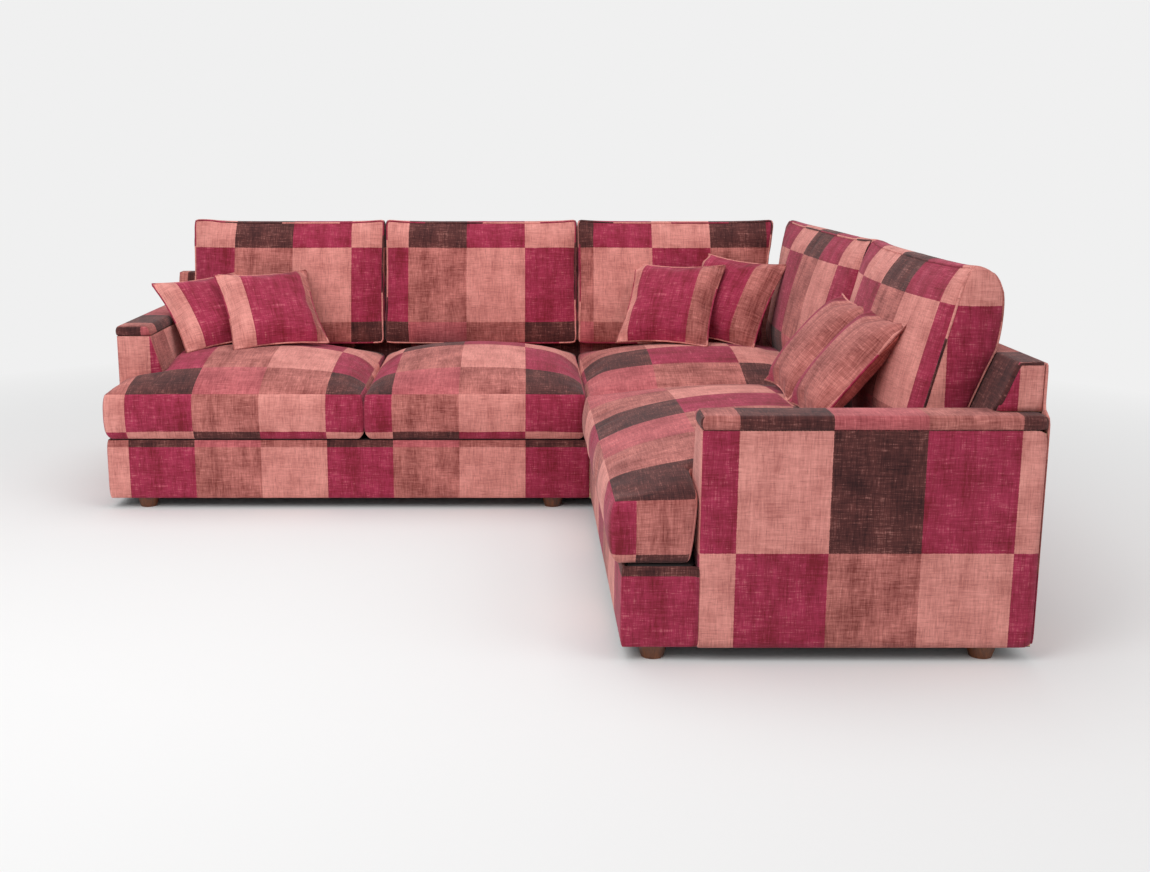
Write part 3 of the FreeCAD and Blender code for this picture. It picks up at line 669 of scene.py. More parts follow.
def seat_cushion(name, place, u0, u1, front, cloth, ear=False, corner=False):
    """A boxed seat cushion: crowned top, upright border and, beside an arm, an ear in front of it."""
    step = 0.026
    side_at = arm_inner(BORDER_TOP) + 0.002
    rear_at = back_inner(BORDER_TOP) - 0.002
    ear_back = ARM_SETBACK - 0.005
    end_at = rear_at if corner else u1
    us, beside_arm = stepped(u0, side_at, end_at, step) if ear else (spaced(u0, end_at, step), 0)
    ws, ear_rows = stepped(front, ear_back, rear_at, step)
    piece = Piece(name, us, ws, [0, 0.10, 0.28, 0.46, 0.64, 0.82, 0.94, 1],
                  lambda i, j: i >= beside_arm or j < ear_rows)
    u, w, level = piece.grid.T
    at, deep = u, w
    last = SEAT_BACK_EDGE if corner else u1
    edge = np.interp(deep, [front, SEAT_BACK_EDGE], [BORDER_TOP, TAIL_TOP])
    if corner:
        edge = np.maximum(edge, np.interp(at, [u0, SEAT_BACK_EDGE], [BORDER_TOP, TAIL_TOP]))
    peak = SEAT_PEAK if corner else front + SEAT_PEAK
    side = arc(deep, (front + 0.004, BORDER_TOP), (peak, SEAT_CROWN), (SEAT_BACK_EDGE - 0.004, TAIL_TOP)) - edge
    middle = (SEAT_PEAK, SEAT_CROWN) if corner else ((u0 + u1) / 2, SEAT_CROWN)
    across = arc(at, (u0 + 0.004, BORDER_TOP), middle, (last - 0.004, TAIL_TOP if corner else BORDER_TOP))
    share = part(across, BORDER_TOP, SEAT_CROWN)
    top = edge + np.maximum(side, 0) * share ** 0.55
    z = np.where(level >= 1, top, SEAT_LOW + 0.0015 + level * (edge - SEAT_LOW))
    if ear:
        behind = (deep > ear_back - 1e-6) & (u > side_at - 1e-6)
        u = np.where(behind, end_at - (end_at - u) * (end_at - arm_inner(z) - 0.003) / (end_at - side_at), u)
    w = front + (w - front) * (back_inner(z) - 0.003 - front) / (rear_at - front)
    if corner:
        u = u0 + (u - u0) * (back_inner(z) - 0.003 - u0) / (rear_at - u0)
    tuck = 0.016 * part(level, 0.14, 0) ** 2 + 0.004 * part(level, 0.85, 1) ** 2
    bulge = 0.004 * np.sin(np.pi * level)
    at_front, at_start = np.isclose(deep, front), np.isclose(at, u0)
    at_end = np.isclose(at, end_at) & (not corner)
    w = np.where(at_front, w + tuck + 0.003 - bulge, w)
    u = np.where(at_end, u - tuck - 0.002 + 0.5 * bulge, np.where(at_start, u + tuck + 0.002 - 0.5 * bulge, u))
    made = piece.build(u, w, z, cloth, place)
    rim = np.isclose(level, 1) & (at_front | at_end | at_start)
    hold = np.where(level < 0.05, 1.0, np.where(rim, 0.7, 0.0))
    hold = np.where(deep > SEAT_STILL, np.maximum(hold, 0.9), hold)
    if corner:
        hold = np.where(at > SEAT_STILL, np.maximum(hold, 0.9), hold)
    puffed(made, hold, pressure=2.0, reach=0.007, slack=-0.015)
    smoothed(made)
    dress(made, body_of(name), [name])


def straight_seat_cloth(run, row_start, row_length, side_seam, side_first):
    """Cloth of a seat on one run: rows of the top run back from the front edge, borders have their own."""
    def end(p):
        return block_at(p, 1, side_seam, side_first), seat_border_row(p)

    return {
        "top": lambda p: (run(p), 2 + (row_start - p[:, 1]) / row_length),
        "front": lambda p: (run(p), seat_border_row(p)),
        "start": end, "end": end,
        "else": lambda p: (run(p), 0.5),
    }


def corner_seat_cloth():
    """Cloth of the corner seat, turned as on the return."""
    def deep(p):
        return 1 - block_at(p, 1, 0.2)

    return {"top": lambda p: (deep(p), 2 + (TURNED_ROW_START - p[:, 0]) / TURNED_ROW),
            "else": lambda p: (deep(p), seat_border_row(p))}


# ---- Back cushions
def back_cushion(name, place, lines, row_line, mirror=False, arm_side=0.0, far=(0.0, 0.0)):
    """A back cushion: full front panel, rear panel, border between them, and piping round both panels.

    arm_side is the room that its start leaves for an arm; far moves the top of its far end, along and deep.
    """
    low_corner, high_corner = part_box(name)
    if place is in_right:
        u0, u1 = low_corner.y - NEAR_END, high_corner.y - NEAR_END
    else:
        u0, u1 = low_corner.x - LEFT_END, high_corner.x - LEFT_END
    step = 0.028
    piece = Piece(name, spaced(u0, u1, step), [0, 0.16, 0.34, 0.5, 0.66, 0.84, 1],
                  spaced(0, 1, step / (BACK_TOP - BACK_LOW)))
    at, t, rise = piece.grid.T
    share = (at - u0) / (u1 - u0)
    from_middle = np.minimum(np.abs(2 * (at - u0 - arm_side) / (u1 - u0 - arm_side) - 1), 1.15)
    ears = np.minimum(from_middle, 1) ** 6
    low = BACK_LOW + 0.002
    high = BACK_TOP - 0.002 - 0.009 * (1 - ears) - 0.016 * t ** 2 + 0.004 * np.sin(np.pi * t) * (1 - ears)
    z = low + rise * (high - low)
    belly = (BELLY * np.sin(np.pi * np.clip(rise, 0, 1)) ** 0.75 + 0.006) * (1 - from_middle ** 3)
    front = BACK_FOOT + BACK_LEAN * (z - low) + 0.018 * from_middle ** 3 - belly
    front = front + 0.012 * part(rise, 0.08, 0) ** 2 + 0.012 * part(rise, 0.93, 1) ** 2
    over = part(z, BACK_HEIGHT - 0.02, BACK_HEIGHT + 0.105)
    rear = back_inner(np.minimum(z, BACK_HEIGHT)) - 0.002 + 0.012 * np.sin(over * np.pi / 2)
    rear = rear - 0.030 * part(rise, 0.86, 1) ** 2
    w = front + t * (rear - front)
    drawn = 0.005 * np.sin(np.pi * rise) + 0.001 - 0.004 * np.sin(np.pi * t) * np.sin(np.pi * rise)
    u = at + np.where(share < 0.5, drawn, -drawn) * ears
    u = u + far[0] * share ** 3 * rise
    w = w + far[1] * share ** 4 * rise ** 1.5
    if arm_side:
        clear = np.maximum(u0, arm_inner(z) + 0.007)
        u = u1 - (u1 - u) * (u1 - clear) / (u1 - u0)
    run = along(lines, mirror)

    def face(p):
        return run(p), row_below(p, row_line, BORDER_ROW, 1)

    def side(p):
        return block_at(p, 1, 0.80, lines[1] + 1), row_below(p, row_line, BORDER_ROW, 1)

    def lid(p):
        return run(p), 0.62 - (p[:, 1] - 0.84) / BORDER_ROW

    made = piece.build(u, w, z, {"front": face, "rear": face, "start": side, "end": side, "else": lid}, place)
    ring = np.isclose(rise, 0) | np.isclose(rise, 1) | np.isclose(share, 0) | np.isclose(share, 1)
    hold = np.where(ring & (np.isclose(t, 0) | np.isclose(t, 1)), 1.0, np.where(np.isclose(rise, 1), 0.6, 0.0))
    hold = np.where(np.isclose(t, 1) & (z < BACK_HEIGHT), 1.0, hold)
    hold = np.where(rise < 0.02, 1.0, hold)
    puffed(made, hold, pressure=sizes().puff, reach=0.009, slack=-0.015)
    smoothed(made)
    spots = np.array([v.co for v in made.data.vertices])[:len(at)]
    dress(made, body_of(name), [name])
    for n, panel in enumerate(("front", "rear")):
        loop = rim_loop(share, rise, np.isclose(t, n))
        piping = tube("%s_%s_piping" % (name, panel), even(spots[loop], 0.014), sizes().piping,
                      lines[1] + 1.3 * n, 0.4 + 1.3 * n)
        dress(piping, body_of(name))


def rim_loop(a, b, chosen):
    """Indices in order round the edge of a square sheet of points."""
    ids = np.nonzero(chosen)[0]
    edges = ((np.isclose(b[ids], 0), a, 1), (np.isclose(a[ids], 1), b, 1),
             (np.isclose(b[ids], 1), a, -1), (np.isclose(a[ids], 0), b, -1))
    loop = []
    for mask, key, sign in edges:
        side = ids[mask]
        loop += [i for i in side[np.argsort(sign * key[side], kind="stable")] if i not in loop]
    return loop


# ---- Scatter cushions: turn, lean and roll in degrees, where their first seam lies, and their rows
SCATTER = [
    ("scatter_cushion_on_left_arm", 30.0, 50.0, -7.0, -0.10, 0.02),
    ("scatter_cushion_left", 25.0, 45.5, -1.0, -0.09, 0.02),
    ("scatter_cushion_corner_left", -26.5, 38.5, -1.5, -0.13, 0.10),
    ("scatter_cushion_corner_right", -37.0, 33.0, 5.0, -0.15, 0.02),
    ("scatter_cushion_right_back", -90.0, 40.0, 0.0, -0.284, 0.02),
    ("scatter_cushion_right_front", -90.0, 40.0, 0.0, -0.284, 0.02),
]


def pillow(name, turn, lean, roll, seam, row):
    """A knife-edged scatter cushion with piping, set down leaning."""
    half = sizes().scatter / 2
    stations = list(half * np.sin(np.linspace(-math.pi / 2, math.pi / 2, 23)))
    piece = Piece(name, stations, [-1, 1], stations)
    x, side, z = piece.grid.T
    a, b = x / half, z / half
    full = np.clip(1 - np.abs(a) ** 2.4, 0, 1) ** 0.62 * np.clip(1 - np.abs(b) ** 2.4, 0, 1) ** 0.62
    thick = 0.0015 + (PILLOW_THICK / 2 - 0.007) * full
    draw = 0.016 / half
    x = x * (1 - draw * (1 - b ** 2) * np.abs(a) ** 3) * 0.985
    z = z * (1 - draw * (1 - a ** 2) * np.abs(b) ** 3) * 0.985
    rules = {"else": lambda p: (block_at(p, 0, seam), row_below(p, half, SCATTER_ROW, 1 + row))}
    made = piece.build(x, side * thick, z, rules, lambda p: p)
    edge = (np.abs(a) > 0.999) | (np.abs(b) > 0.999)
    puffed(made, np.where(edge, 0.9, 0.0), pressure=3.5, reach=0.008, slack=-0.04)
    smoothed(made)
    p = np.array([v.co for v in made.data.vertices])[:len(x)]
    front = rim_loop((a + 1) / 2, (b + 1) / 2, side < 0)
    rear = rim_loop((a + 1) / 2, (b + 1) / 2, side > 0)
    piping = tube(name + "_piping", even((p[front] + p[rear]) / 2, 0.012), sizes().piping, 1.3, 1.45)
    low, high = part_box(name)
    turned = (Matrix.Translation((low + high) / 2) @ Matrix.Rotation(math.radians(turn), 4, "Z")
              @ Matrix.Rotation(math.radians(-lean), 4, "X") @ Matrix.Rotation(math.radians(roll), 4, "Y"))
    for item in (made, piping):
        item.data.transform(turned)
        item.data.update()
    dress(made, body_of(name), [name])
    dress(piping, body_of(name))


# ---- Covers of the frame
def padded_cover(piece, turned):
    """Smooth an open cover, turn its faces to its unit's front and give it its padded wall, inwards."""
    smoothed(piece)
    total = sum((face.normal * face.area for face in piece.data.polygons), Vector())
    if total.dot(Vector((-1, 0, 0.5) if turned else (0, -1, 0.5))) < 0:
        piece.data.flip_normals()
    modify(piece, "SOLIDIFY", thickness=WALL, offset=-1.0)


def front_border(name, place, length, lines, turned):
    """Padded border along a base's front, which turns the corner up to the arm."""
    us = [ARM_OUTER, *spaced(ARM_OUTER + 0.007, length, 0.03)]
    ws = [0.0, *spaced(0.007, ARM_SETBACK + 0.004, 0.03)]
    piece = Piece(name, us, ws, [0, 0.03, 0.12, 0.3, 0.5, 0.7, 0.88, 0.97, 1], drop=("top", "bottom", "rear", "end"))
    along_it, deep, level = piece.grid.T
    z = BASE_BOTTOM + 0.001 + level * (BASE_TOP - BASE_BOTTOM - 0.002)
    inward = 0.001 + 0.005 * (part(level, 0.12, 0) ** 2 + part(level, 0.88, 1) ** 2)
    at_front, at_side = np.isclose(deep, 0), np.isclose(along_it, ARM_OUTER)
    corner = np.where(at_front & at_side, 0.002, 0.0)
    w = np.where(at_front, inward + corner, deep)
    u = np.where(at_side, ARM_OUTER + inward + corner, along_it)
    run = along(lines, turned)
    rules = {"start": lambda p: (block_at(p, 1, 0.0), base_row(p)), "else": lambda p: (run(p), base_row(p))}
    made = piece.build(u, w, z, rules, place)
    padded_cover(made, turned)
    dress(made, "frame", [name])


def arm_cover(name, place, front_seam, front_row, turned):
    """Padded arm: front, outer side down over the base, and sloping inner side.

    front_row is a height, how far the next row lies below it, and the row's number at the height.
    """
    shares = [0, 0.06, 0.2, 0.4, 0.6, 0.8, 0.94, 1]
    ws = [ARM_SETBACK, *spaced(ARM_SETBACK + 0.008, INNER_DEPTH, 0.03)]
    piece = Piece(name, shares, ws, spaced(0, 1, 0.07), drop=("bottom", "rear", "top"))
    share, deep, level = piece.grid.T
    low = np.where(share < 0.1, BASE_BOTTOM + 0.001, BASE_TOP - 0.01)
    z = low + level * (ARM_TOP - low)
    u = ARM_OUTER + 0.001 + share * (arm_inner(z) - ARM_OUTER - 0.002)
    at_front = np.isclose(deep, ARM_SETBACK)
    edge = at_front & (np.isclose(share, 0) | np.isclose(share, 1))
    w = deep + np.where(edge, 0.002, np.where(at_front, 0.0005, 0.0))
    u = u + np.where(edge, np.where(share < 0.5, 0.0015, -0.0015), 0.0)

    def outer(p):
        return (3 + (p[:, 1] - ARM_SEAM) / ARM_BLOCK,
                np.where(p[:, 2] > ARM_LINE, row_below(p, ARM_TOP, 0.302, 0), row_below(p, ARM_LINE, ROW, 1.02)))

    def front(p):
        return block_at(p, 0, front_seam, 3), row_below(p, *front_row)

    def inner(p):
        return block_at(p, 1, 0.36, 2), row_below(p, ARM_TOP, ROW, 1.2)

    made = piece.build(u, w, z, {"front": front, "end": inner, "else": outer}, place)
    padded_cover(made, turned)
    dress(made, "frame", [name])


def arm_cap(name, place):
    """The flat padded band on an arm, with softened edges."""
    shares = [0, 0.10, 0.3, 0.5, 0.7, 0.90, 1]
    front = ARM_SETBACK - 0.003
    piece = Piece(name, shares, spaced(front, INNER_DEPTH, 0.028), [0, 0.3, 0.7, 1])
    share, deep, level = piece.grid.T
    z = ARM_TOP + 0.0005 + level * (ARM_HEIGHT - ARM_TOP - 0.002)
    z = z + np.where(np.isclose(level, 1), 0.0015 * np.sin(np.pi * share), 0)
    u = 0.0005 + share * (arm_inner(z) + 0.002)
    round_edge = part(level, 0.7, 1) * 0.006 + part(level, 0.3, 0) * 0.003
    u = u + np.where(np.isclose(share, 0), round_edge, np.where(np.isclose(share, 1), -round_edge, 0))
    w = deep + np.where(np.isclose(deep, front), round_edge, 0)
    made = piece.build(u, w, z, {
        "front": lambda p: (block_at(p, 0, 0.09, 1), row_below(p, ARM_HEIGHT, ROW, 2.5)),
        "else": lambda p: (3 + (p[:, 1] - ARM_SEAM) / ARM_BLOCK, 2.35 + (p[:, 0] + ARM_HEIGHT - p[:, 2]) / ROW),
    }, place)
    smoothed(made)
    dress(made, "frame", [name])


def inside_back(name, place, length, lines, turned, armed=False, mitred=False):
    """Padded cover of a back's sloping face and top and, above an arm, of its end."""
    start = BACK_INSET + 0.001 if armed else 0.0
    bands = spaced(0, 1, 0.06) + [1.1, 1.5, 1.9, 2.0]
    piece = Piece(name, spaced(start, length, 0.035), [0, 1], bands, drop=("bottom", "top", "rear", "start", "end"))
    u, _, run_up = piece.grid.T
    top_width = BACK_WIDTH - SKIN - 0.001
    z = np.where(run_up <= 1, BASE_TOP + 0.002 + run_up * (BACK_HEIGHT - 0.004 - BASE_TOP), BACK_HEIGHT - 0.001)
    w = np.where(run_up <= 1, back_inner(z) + 0.001, back_inner(BACK_HEIGHT) + (run_up - 1) * top_width)
    if armed:
        clear = np.where(z < ARM_HEIGHT, arm_inner(z) + 0.004, start)
        u = length - (length - u) * (length - clear) / (length - start)
    if mitred:
        u = u * (back_inner(z) + 0.004) / length
    run = along(lines, turned)
    made = piece.build(u, w, z, {
        "else": lambda p: (run(p), 2.25 + (BACK_HEIGHT - p[:, 2]) / 0.7 - np.maximum(p[:, 1] - 0.93, 0) * 3)}, place)
    padded_cover(made, turned)
    if armed:
        close_end(made, name + "_end", place)
    dress(made, "frame", [name])


def close_end(cover, name, place):
    """The upright end panel of a back above the arm, joined to the back's cover."""
    low, high = ARM_HEIGHT + 0.002, BACK_HEIGHT - 0.001
    piece = Piece(name, [0, 1], spaced(0, 1, 0.12), spaced(0, 1, 0.12))
    thick, deep, level = piece.grid.T
    z = low + level * (high - low)
    face = back_inner(z) + 0.002
    w = face + deep * (INNER_DEPTH - 0.001 - face)
    soften = np.where((np.abs(deep - 0.5) > 0.49) | (level > 0.99), 0.003, 0.0)
    u = BACK_INSET + 0.0005 + thick * WALL + np.where(thick < 0.5, soften, 0)
    panel = piece.build(u, w, z, {
        "else": lambda p: (3 - block_at(p, 1, 0.925), row_below(p, BACK_HEIGHT, ROW, 1.2))}, place)
    only(panel)
    cover.select_set(True)
    bpy.context.view_layer.objects.active = cover
    bpy.ops.object.join()


def outside_back(name, place, start, length, inset=False):
    """Flat cover behind a back, down to the bottom of the base."""
    height = BACK_HEIGHT - BASE_BOTTOM - 0.002
    at_arm = (ARM_HEIGHT - BASE_BOTTOM) / height
    levels = spaced(0, at_arm - 0.004, 0.06) + spaced(at_arm, 1, 0.06)
    piece = Piece(name, spaced(start, length, 0.035), [0, 1], levels)
    u, thick, level = piece.grid.T
    z = BASE_BOTTOM + 0.001 + level * height
    w = INNER_DEPTH + 0.001 + thick * (SKIN - 0.002)
    if inset:
        u = np.where(level > at_arm - 0.002, np.maximum(u, BACK_INSET + 0.001), u)
    made = piece.build(u, w, z, {
        "else": lambda p: (block_at(p, 0, 0.079), row_below(p, BACK_HEIGHT, BORDER_ROW, 1.2))}, place)
    smoothed(made)
    dress(made, "frame", [name])


# ---- Linings, whose cloth coordinates are metres
FLAT = {"else": lambda p: p[:, :2].T}


def deck_lining(name, place, length, armed):
    """The black lining that the seat cushions lie on, cut round the arm."""
    rear = back_inner(BASE_TOP) + SKIN * 1.07
    side = arm_inner(BASE_TOP - SKIN)
    start, front = (ARM_OUTER + SKIN, SKIN) if armed else (0.0, 0.0)
    end = length if armed else rear
    us, beside = stepped(start, side, end, 0.06) if armed else (spaced(start, end, 0.06), 0)
    ws, rows = stepped(front, ARM_SETBACK, rear, 0.06)
    piece = Piece(name, us, ws, [0, 1], lambda i, j: i >= beside or j < rows)
    u, w, level = piece.grid.T
    hollow = 0.0015 * np.sin(np.pi * (w - front) / (rear - front)) ** 2
    z = BASE_TOP - SKIN + 0.0005 + level * (SKIN - 0.001) - level * hollow
    made = piece.build(u, w, z, FLAT, place)
    smoothed(made)
    dress(made, "frame", [name], finish="lining")


def dust_cloth(name, place, u0, u1, w0, w1):
    """Thin black cloth stretched under one unit, on its rails."""
    piece = Piece(name, spaced(u0, u1, 0.08), spaced(w0, w1, 0.08), [0, 1])
    u, w, level = piece.grid.T
    puckers = 0.0003 * np.sin(u * 61) * np.sin(w * 53)
    made = piece.build(u, w, BASE_BOTTOM + 0.0005 + level * 0.001 + puckers, FLAT, place)
    dress(made, "frame", ["dust_covers"], finish="lining")


# ---- Sizes and colours that a user would change
class SofaSizes(bpy.types.PropertyGroup):
    """Sizes of the soft parts and of the cloth."""
    block: bpy.props.FloatProperty(name="Block width", description="Width of one block of the cloth",
                                   default=BLOCK, min=0.01, unit="LENGTH")
    piping: bpy.props.FloatProperty(name="Piping radius", description="Radius of the cushions' piping",
                                    default=0.0032, min=0.0005, unit="LENGTH")
    puff: bpy.props.FloatProperty(name="Puff", description="Pressure that fills the back cushions",
                                  default=4.0, min=0.0)
    scatter: bpy.props.FloatProperty(name="Scatter cushion", description="Side of a scatter cushion",
                                     default=PILLOW, min=0.1, unit="LENGTH")


def tint(kind, name, description):
    """A colour property that starts as the light tone of its kind."""
    return bpy.props.FloatVectorProperty(name=name, description=description, default=shade(TONES[kind][0]),
                                         subtype="COLOR", size=3, min=0, max=1)


class SofaColours(bpy.types.PropertyGroup):
    """Light yarns of the cloth's blocks, and colours of the lining, the wood and the floor."""
    pink: tint("pink", "Pink blocks", "Light yarn of the pink blocks")
    dark: tint("dark", "Dark blocks", "Light yarn of the dark blocks")
    cerise: tint("cerise", "Cerise blocks", "Light yarn of the cerise blocks")
    brown: tint("brown", "Brown blocks", "Light yarn of the brown blocks")
    rose: tint("rose", "Rose blocks", "Light yarn of the rose blocks")
    lining: tint("lining", "Lining", "Light thread of the lining")
    wood: tint("wood", "Feet", "Stain of the feet")
    floor: tint("floor", "Floor", "Colour of the floor")


class SOFA_OT_seats(bpy.types.Operator):
    """Crowned seat cushions, two of them with an ear in front of the arm"""
    bl_idname = "sofa.seats"
    bl_label = "Seat cushions"

    def execute(self, context):
        long_cloth = straight_seat_cloth(along(LONG_RUN), ROW_START, ROW, 0.0, 0.4)
        turned_cloth = straight_seat_cloth(along(RETURN_RUN, mirror=True), TURNED_ROW_START, TURNED_ROW, 0.036, 1)
        seat_cushion("left_seat_cushion", in_left, SEAT_START, LEFT_SEAT_END, SEAT_FRONT,
                     long_cloth, ear=True)
        seat_cushion("middle_seat_cushion", in_left, *MIDDLE_SEAT, SEAT_FRONT, long_cloth)
        seat_cushion("right_seat_cushion", in_right, SEAT_START, RIGHT_SEAT_END, TURNED_SEAT_FRONT,
                     turned_cloth, ear=True)
        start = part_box("corner_seat_cushion")[0]
        seat_cushion("corner_seat_cushion", in_corner, start.x - CORNER_START, 0, start.y - FRONT,
                     corner_seat_cloth(), corner=True)
        return {"FINISHED"}


class SOFA_OT_backs(bpy.types.Operator):
    """Full back cushions with piping round their front and rear panels"""
    bl_idname = "sofa.backs"
    bl_label = "Back cushions"

    def execute(self, context):
        back_cushion("left_back_cushion", in_left, LONG_RUN, LONG_BACK_LINE, arm_side=0.063)
        back_cushion("middle_back_cushion", in_left, LONG_RUN, LONG_BACK_LINE)
        back_cushion("corner_back_cushion", in_left, CORNER_RUN, LONG_BACK_LINE, far=(0.056, 0.0))
        back_cushion("corner_side_back_cushion", in_right, SIDE_RUN, RETURN_BACK_LINE,
                     mirror=True, far=(0.032, -0.042))
        back_cushion("right_back_cushion", in_right, RIGHT_RUN, RETURN_BACK_LINE, mirror=True)
        return {"FINISHED"}


class SOFA_OT_scatter(bpy.types.Operator):
    """Knife-edged scatter cushions, leaning in pairs"""
    bl_idname = "sofa.scatter"
    bl_label = "Scatter cushions"

    def execute(self, context):
        for cushion in SCATTER:
            pillow(*cushion)
        return {"FINISHED"}


class SOFA_OT_base(bpy.types.Operator):
    """Padded borders along the base's front"""
    bl_idname = "sofa.base"
    bl_label = "Base borders"

    def execute(self, context):
        for unit, run in ARMED_UNITS.items():
            front_border(unit + "_unit_front_border", *run)
        return {"FINISHED"}


class SOFA_OT_arms(bpy.types.Operator):
    """Padded arms with their flat cap bands"""
    bl_idname = "sofa.arms"
    bl_label = "Arms"

    def execute(self, context):
        arm_cover("left_arm_cover", in_left, 0.118, (ARM_TOP, 0.6, 1.1), False)
        arm_cap("left_arm_cap", in_left)
        arm_cover("right_arm_cover", in_right, -0.010, (ARM_LINE, 0.31, 1), True)
        arm_cap("right_arm_cap", in_right)
        return {"FINISHED"}


class SOFA_OT_covers(bpy.types.Operator):
    """Padded covers of the backs, inside and outside"""
    bl_idname = "sofa.covers"
    bl_label = "Back covers"

    def execute(self, context):
        for unit, run in ARMED_UNITS.items():
            inside_back(unit + "_unit_inside_back", *run, armed=True)
        inside_back("corner_unit_rear_inside_back", in_corner, INNER_DEPTH, (0.05, 2), False)
        inside_back("corner_unit_side_inside_back", in_corner_side, INNER_DEPTH, (0.12, 2), True, mitred=True)
        for unit, (place, length, *_) in ARMED_UNITS.items():
            outside_back(unit + "_unit_outside_back", place, ARM_OUTER, length, inset=True)
        outside_back("corner_unit_rear_outside_back", in_corner, 0.0, DEPTH)
        outside_back("corner_unit_side_outside_back", in_corner_side, 0.0, INNER_DEPTH)
        return {"FINISHED"}


class SOFA_OT_linings(bpy.types.Operator):
    """Black deck linings under the seats and thin dust cloths under the base"""
    bl_idname = "sofa.linings"
    bl_label = "Linings"

    def execute(self, context):
        first = ARM_OUTER + SKIN
        for unit, (place, length, *_) in ARMED_UNITS.items():
            deck_lining(unit + "_unit_deck_lining", place, length, True)
        deck_lining("corner_unit_deck_lining", in_corner, 0, False)
        for unit, (place, length, *_) in ARMED_UNITS.items():
            dust_cloth(unit + "_unit_dust_cloth", place, first, length, SKIN, INNER_DEPTH)
        dust_cloth("corner_unit_dust_cloth", in_corner, 0, INNER_DEPTH, 0, INNER_DEPTH)
        return {"FINISHED"}


class SOFA_OT_frame(bpy.types.Operator):
    """Finish of the timber, springs, bolts and feet that the frame brings"""
    bl_idname = "sofa.frame"
    bl_label = "Wood and steel"

    def execute(self, context):
        finishes = {"frame_timber": "timber", "stained_foot_wood": "foot", "steel_wire_and_bolts": "steel"}
        for subpart in frame["record"]["subparts"]:
            finish = finishes.get(subpart["material_slot"])
            if finish is None:
                continue
            node = frame["nodes"][subpart["node"]]
            if not node.material_slots:
                node.data.materials.append(material(finish))
            for slot in node.material_slots:
                slot.material = material(finish)
        return {"FINISHED"}


# How strongly the pale room lights the sofa, and the lamps: place, target, side and watts
WORLD_LIGHT = 0.56
LAMPS = {
    "key_light": ((-2.4, -3.0, 3.6), (-0.5, 0.9, 0.3), 3.2, 105),
    "fill_light": ((3.8, -2.6, 3.4), (0.2, 0.4, 0.4), 3.2, 38),
    "top_light": ((0.0, 0.6, 4.6), (0.0, 0.4, 0.0), 4.0, 75),
}

# The photo's camera: place, tilt below level, lens and shift
CAMERA_PLACE = (0.0841, -4.1676, 1.2128)
CAMERA_TILT = 0.1969
CAMERA_LENS = 41.41
CAMERA_SHIFT = (0.0485, -0.0226)
FLOOR_SIDE = 60


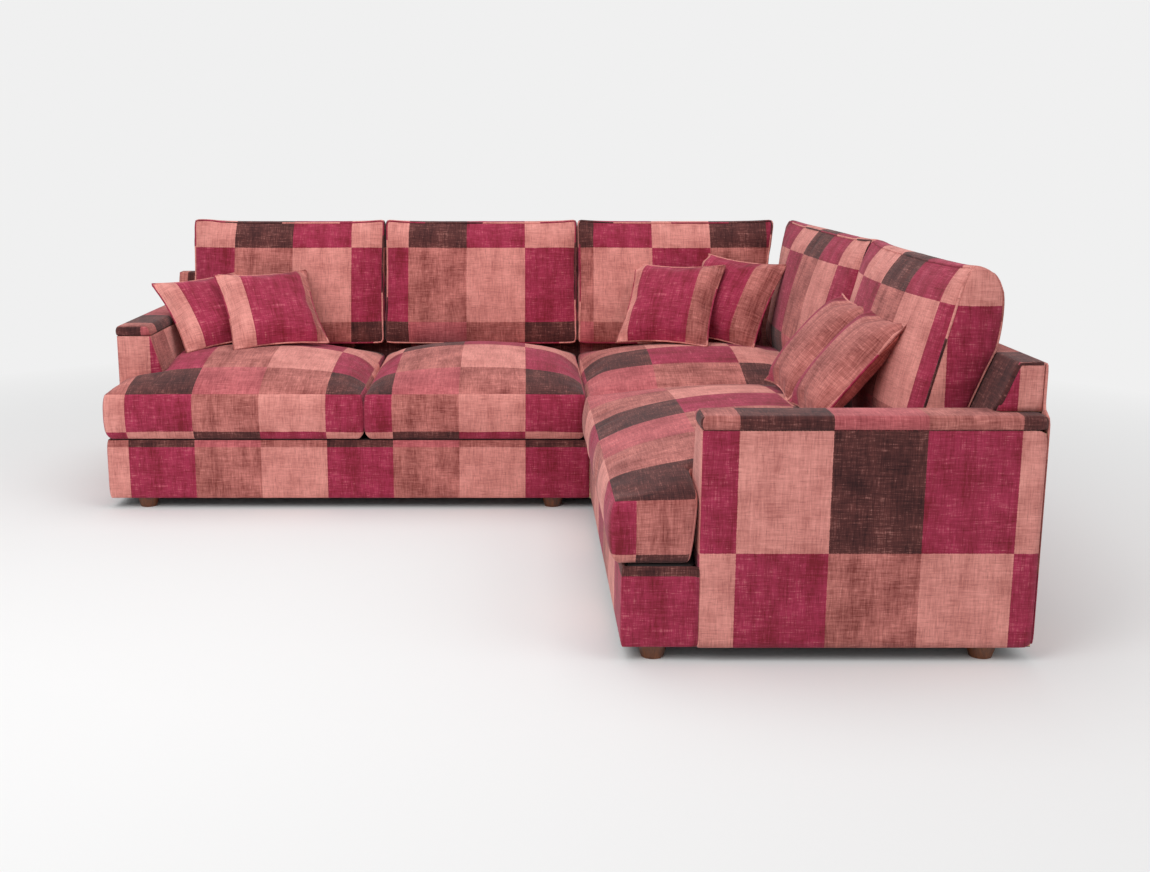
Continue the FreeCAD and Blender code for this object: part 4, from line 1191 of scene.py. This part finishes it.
class SOFA_OT_stage(bpy.types.Operator):
    """Pale floor, soft light and the camera"""
    bl_idname = "sofa.stage"
    bl_label = "Stage"

    def execute(self, context):
        bpy.ops.object.select_all(action="DESELECT")
        bpy.ops.mesh.primitive_plane_add(size=1.0)
        floor = context.active_object
        floor.name = "floor"
        floor.data.transform(Matrix.Diagonal((FLOOR_SIDE, FLOOR_SIDE, 1, 1)))
        floor.data.materials.append(material("floor"))
        for name, lamp_settings in LAMPS.items():
            lamp(name, *lamp_settings)
        self.room(context.scene)
        data = bpy.data.cameras.new("camera")
        data.lens = CAMERA_LENS
        data.shift_x, data.shift_y = CAMERA_SHIFT
        data.clip_end = 200
        camera = bpy.data.objects.new("camera", data)
        camera.location = CAMERA_PLACE
        camera.rotation_euler = (math.pi / 2 - CAMERA_TILT, 0, 0)
        context.scene.collection.objects.link(camera)
        context.scene.camera = camera
        context.scene.view_settings.view_transform = "Standard"
        return {"FINISHED"}

    def room(self, scene):
        """An even pale room, dimmer as a light than it looks to the camera."""
        scene.world = bpy.data.worlds.new("studio")
        scene.world.use_nodes = True
        sky = Sheet("studio", scene.world.node_tree)
        glow = sky.tree.nodes["Background"]
        camera_ray, *rays = (sky.node("ShaderNodeLightPath", out="Is %s Ray" % kind)
                             for kind in ("Camera", "Glossy", "Transmission"))
        seen = camera_ray.math("MAXIMUM", rays[0]).math("MAXIMUM", rays[1])
        sky.tree.links.new((seen * (1.0 - WORLD_LIGHT) + WORLD_LIGHT).out, glow.inputs["Strength"])
        glow.inputs["Color"].default_value = (*BACKDROP, 1)


def lamp(name, spot, target, size, watts):
    """A large square soft lamp that faces a point."""
    light = bpy.data.lights.new(name, "AREA")
    light.size = size
    light.energy = watts
    holder = bpy.data.objects.new(name, light)
    bpy.context.scene.collection.objects.link(holder)
    holder.location = spot
    holder.rotation_euler = (Vector(target) - Vector(spot)).to_track_quat("-Z", "Y").to_euler()


class SOFA_PT_panel(bpy.types.Panel):
    """Steps that dress the sofa"""
    bl_idname = "SOFA_PT_panel"
    bl_label = "Corner sofa"
    bl_space_type = "VIEW_3D"
    bl_region_type = "UI"
    bl_category = "Sofa"

    def draw(self, context):
        for name in SofaSizes.__annotations__:
            self.layout.prop(sizes(), name)
        for name in SofaColours.__annotations__:
            self.layout.prop(context.scene.sofa_colours, name)
        for step in STEPS:
            self.layout.operator(step.bl_idname)


STEPS = (SOFA_OT_frame, SOFA_OT_seats, SOFA_OT_backs, SOFA_OT_scatter, SOFA_OT_base, SOFA_OT_arms,
         SOFA_OT_covers, SOFA_OT_linings, SOFA_OT_stage)
CLASSES = (SofaSizes, SofaColours, *STEPS, SOFA_PT_panel)


def register():
    for kind in CLASSES:
        bpy.utils.register_class(kind)
    bpy.types.Scene.sofa_sizes = bpy.props.PointerProperty(type=SofaSizes)
    bpy.types.Scene.sofa_colours = bpy.props.PointerProperty(type=SofaColours)


def unregister():
    del bpy.types.Scene.sofa_colours
    del bpy.types.Scene.sofa_sizes
    for kind in reversed(CLASSES):
        bpy.utils.unregister_class(kind)


def main():
    register()
    bpy.ops.sofa.frame()
    bpy.ops.sofa.seats()
    bpy.ops.sofa.backs()
    bpy.ops.sofa.scatter()
    bpy.ops.sofa.base()
    bpy.ops.sofa.arms()
    bpy.ops.sofa.covers()
    bpy.ops.sofa.linings()
    bpy.ops.sofa.stage()


if __name__ == "__main__":
    main()
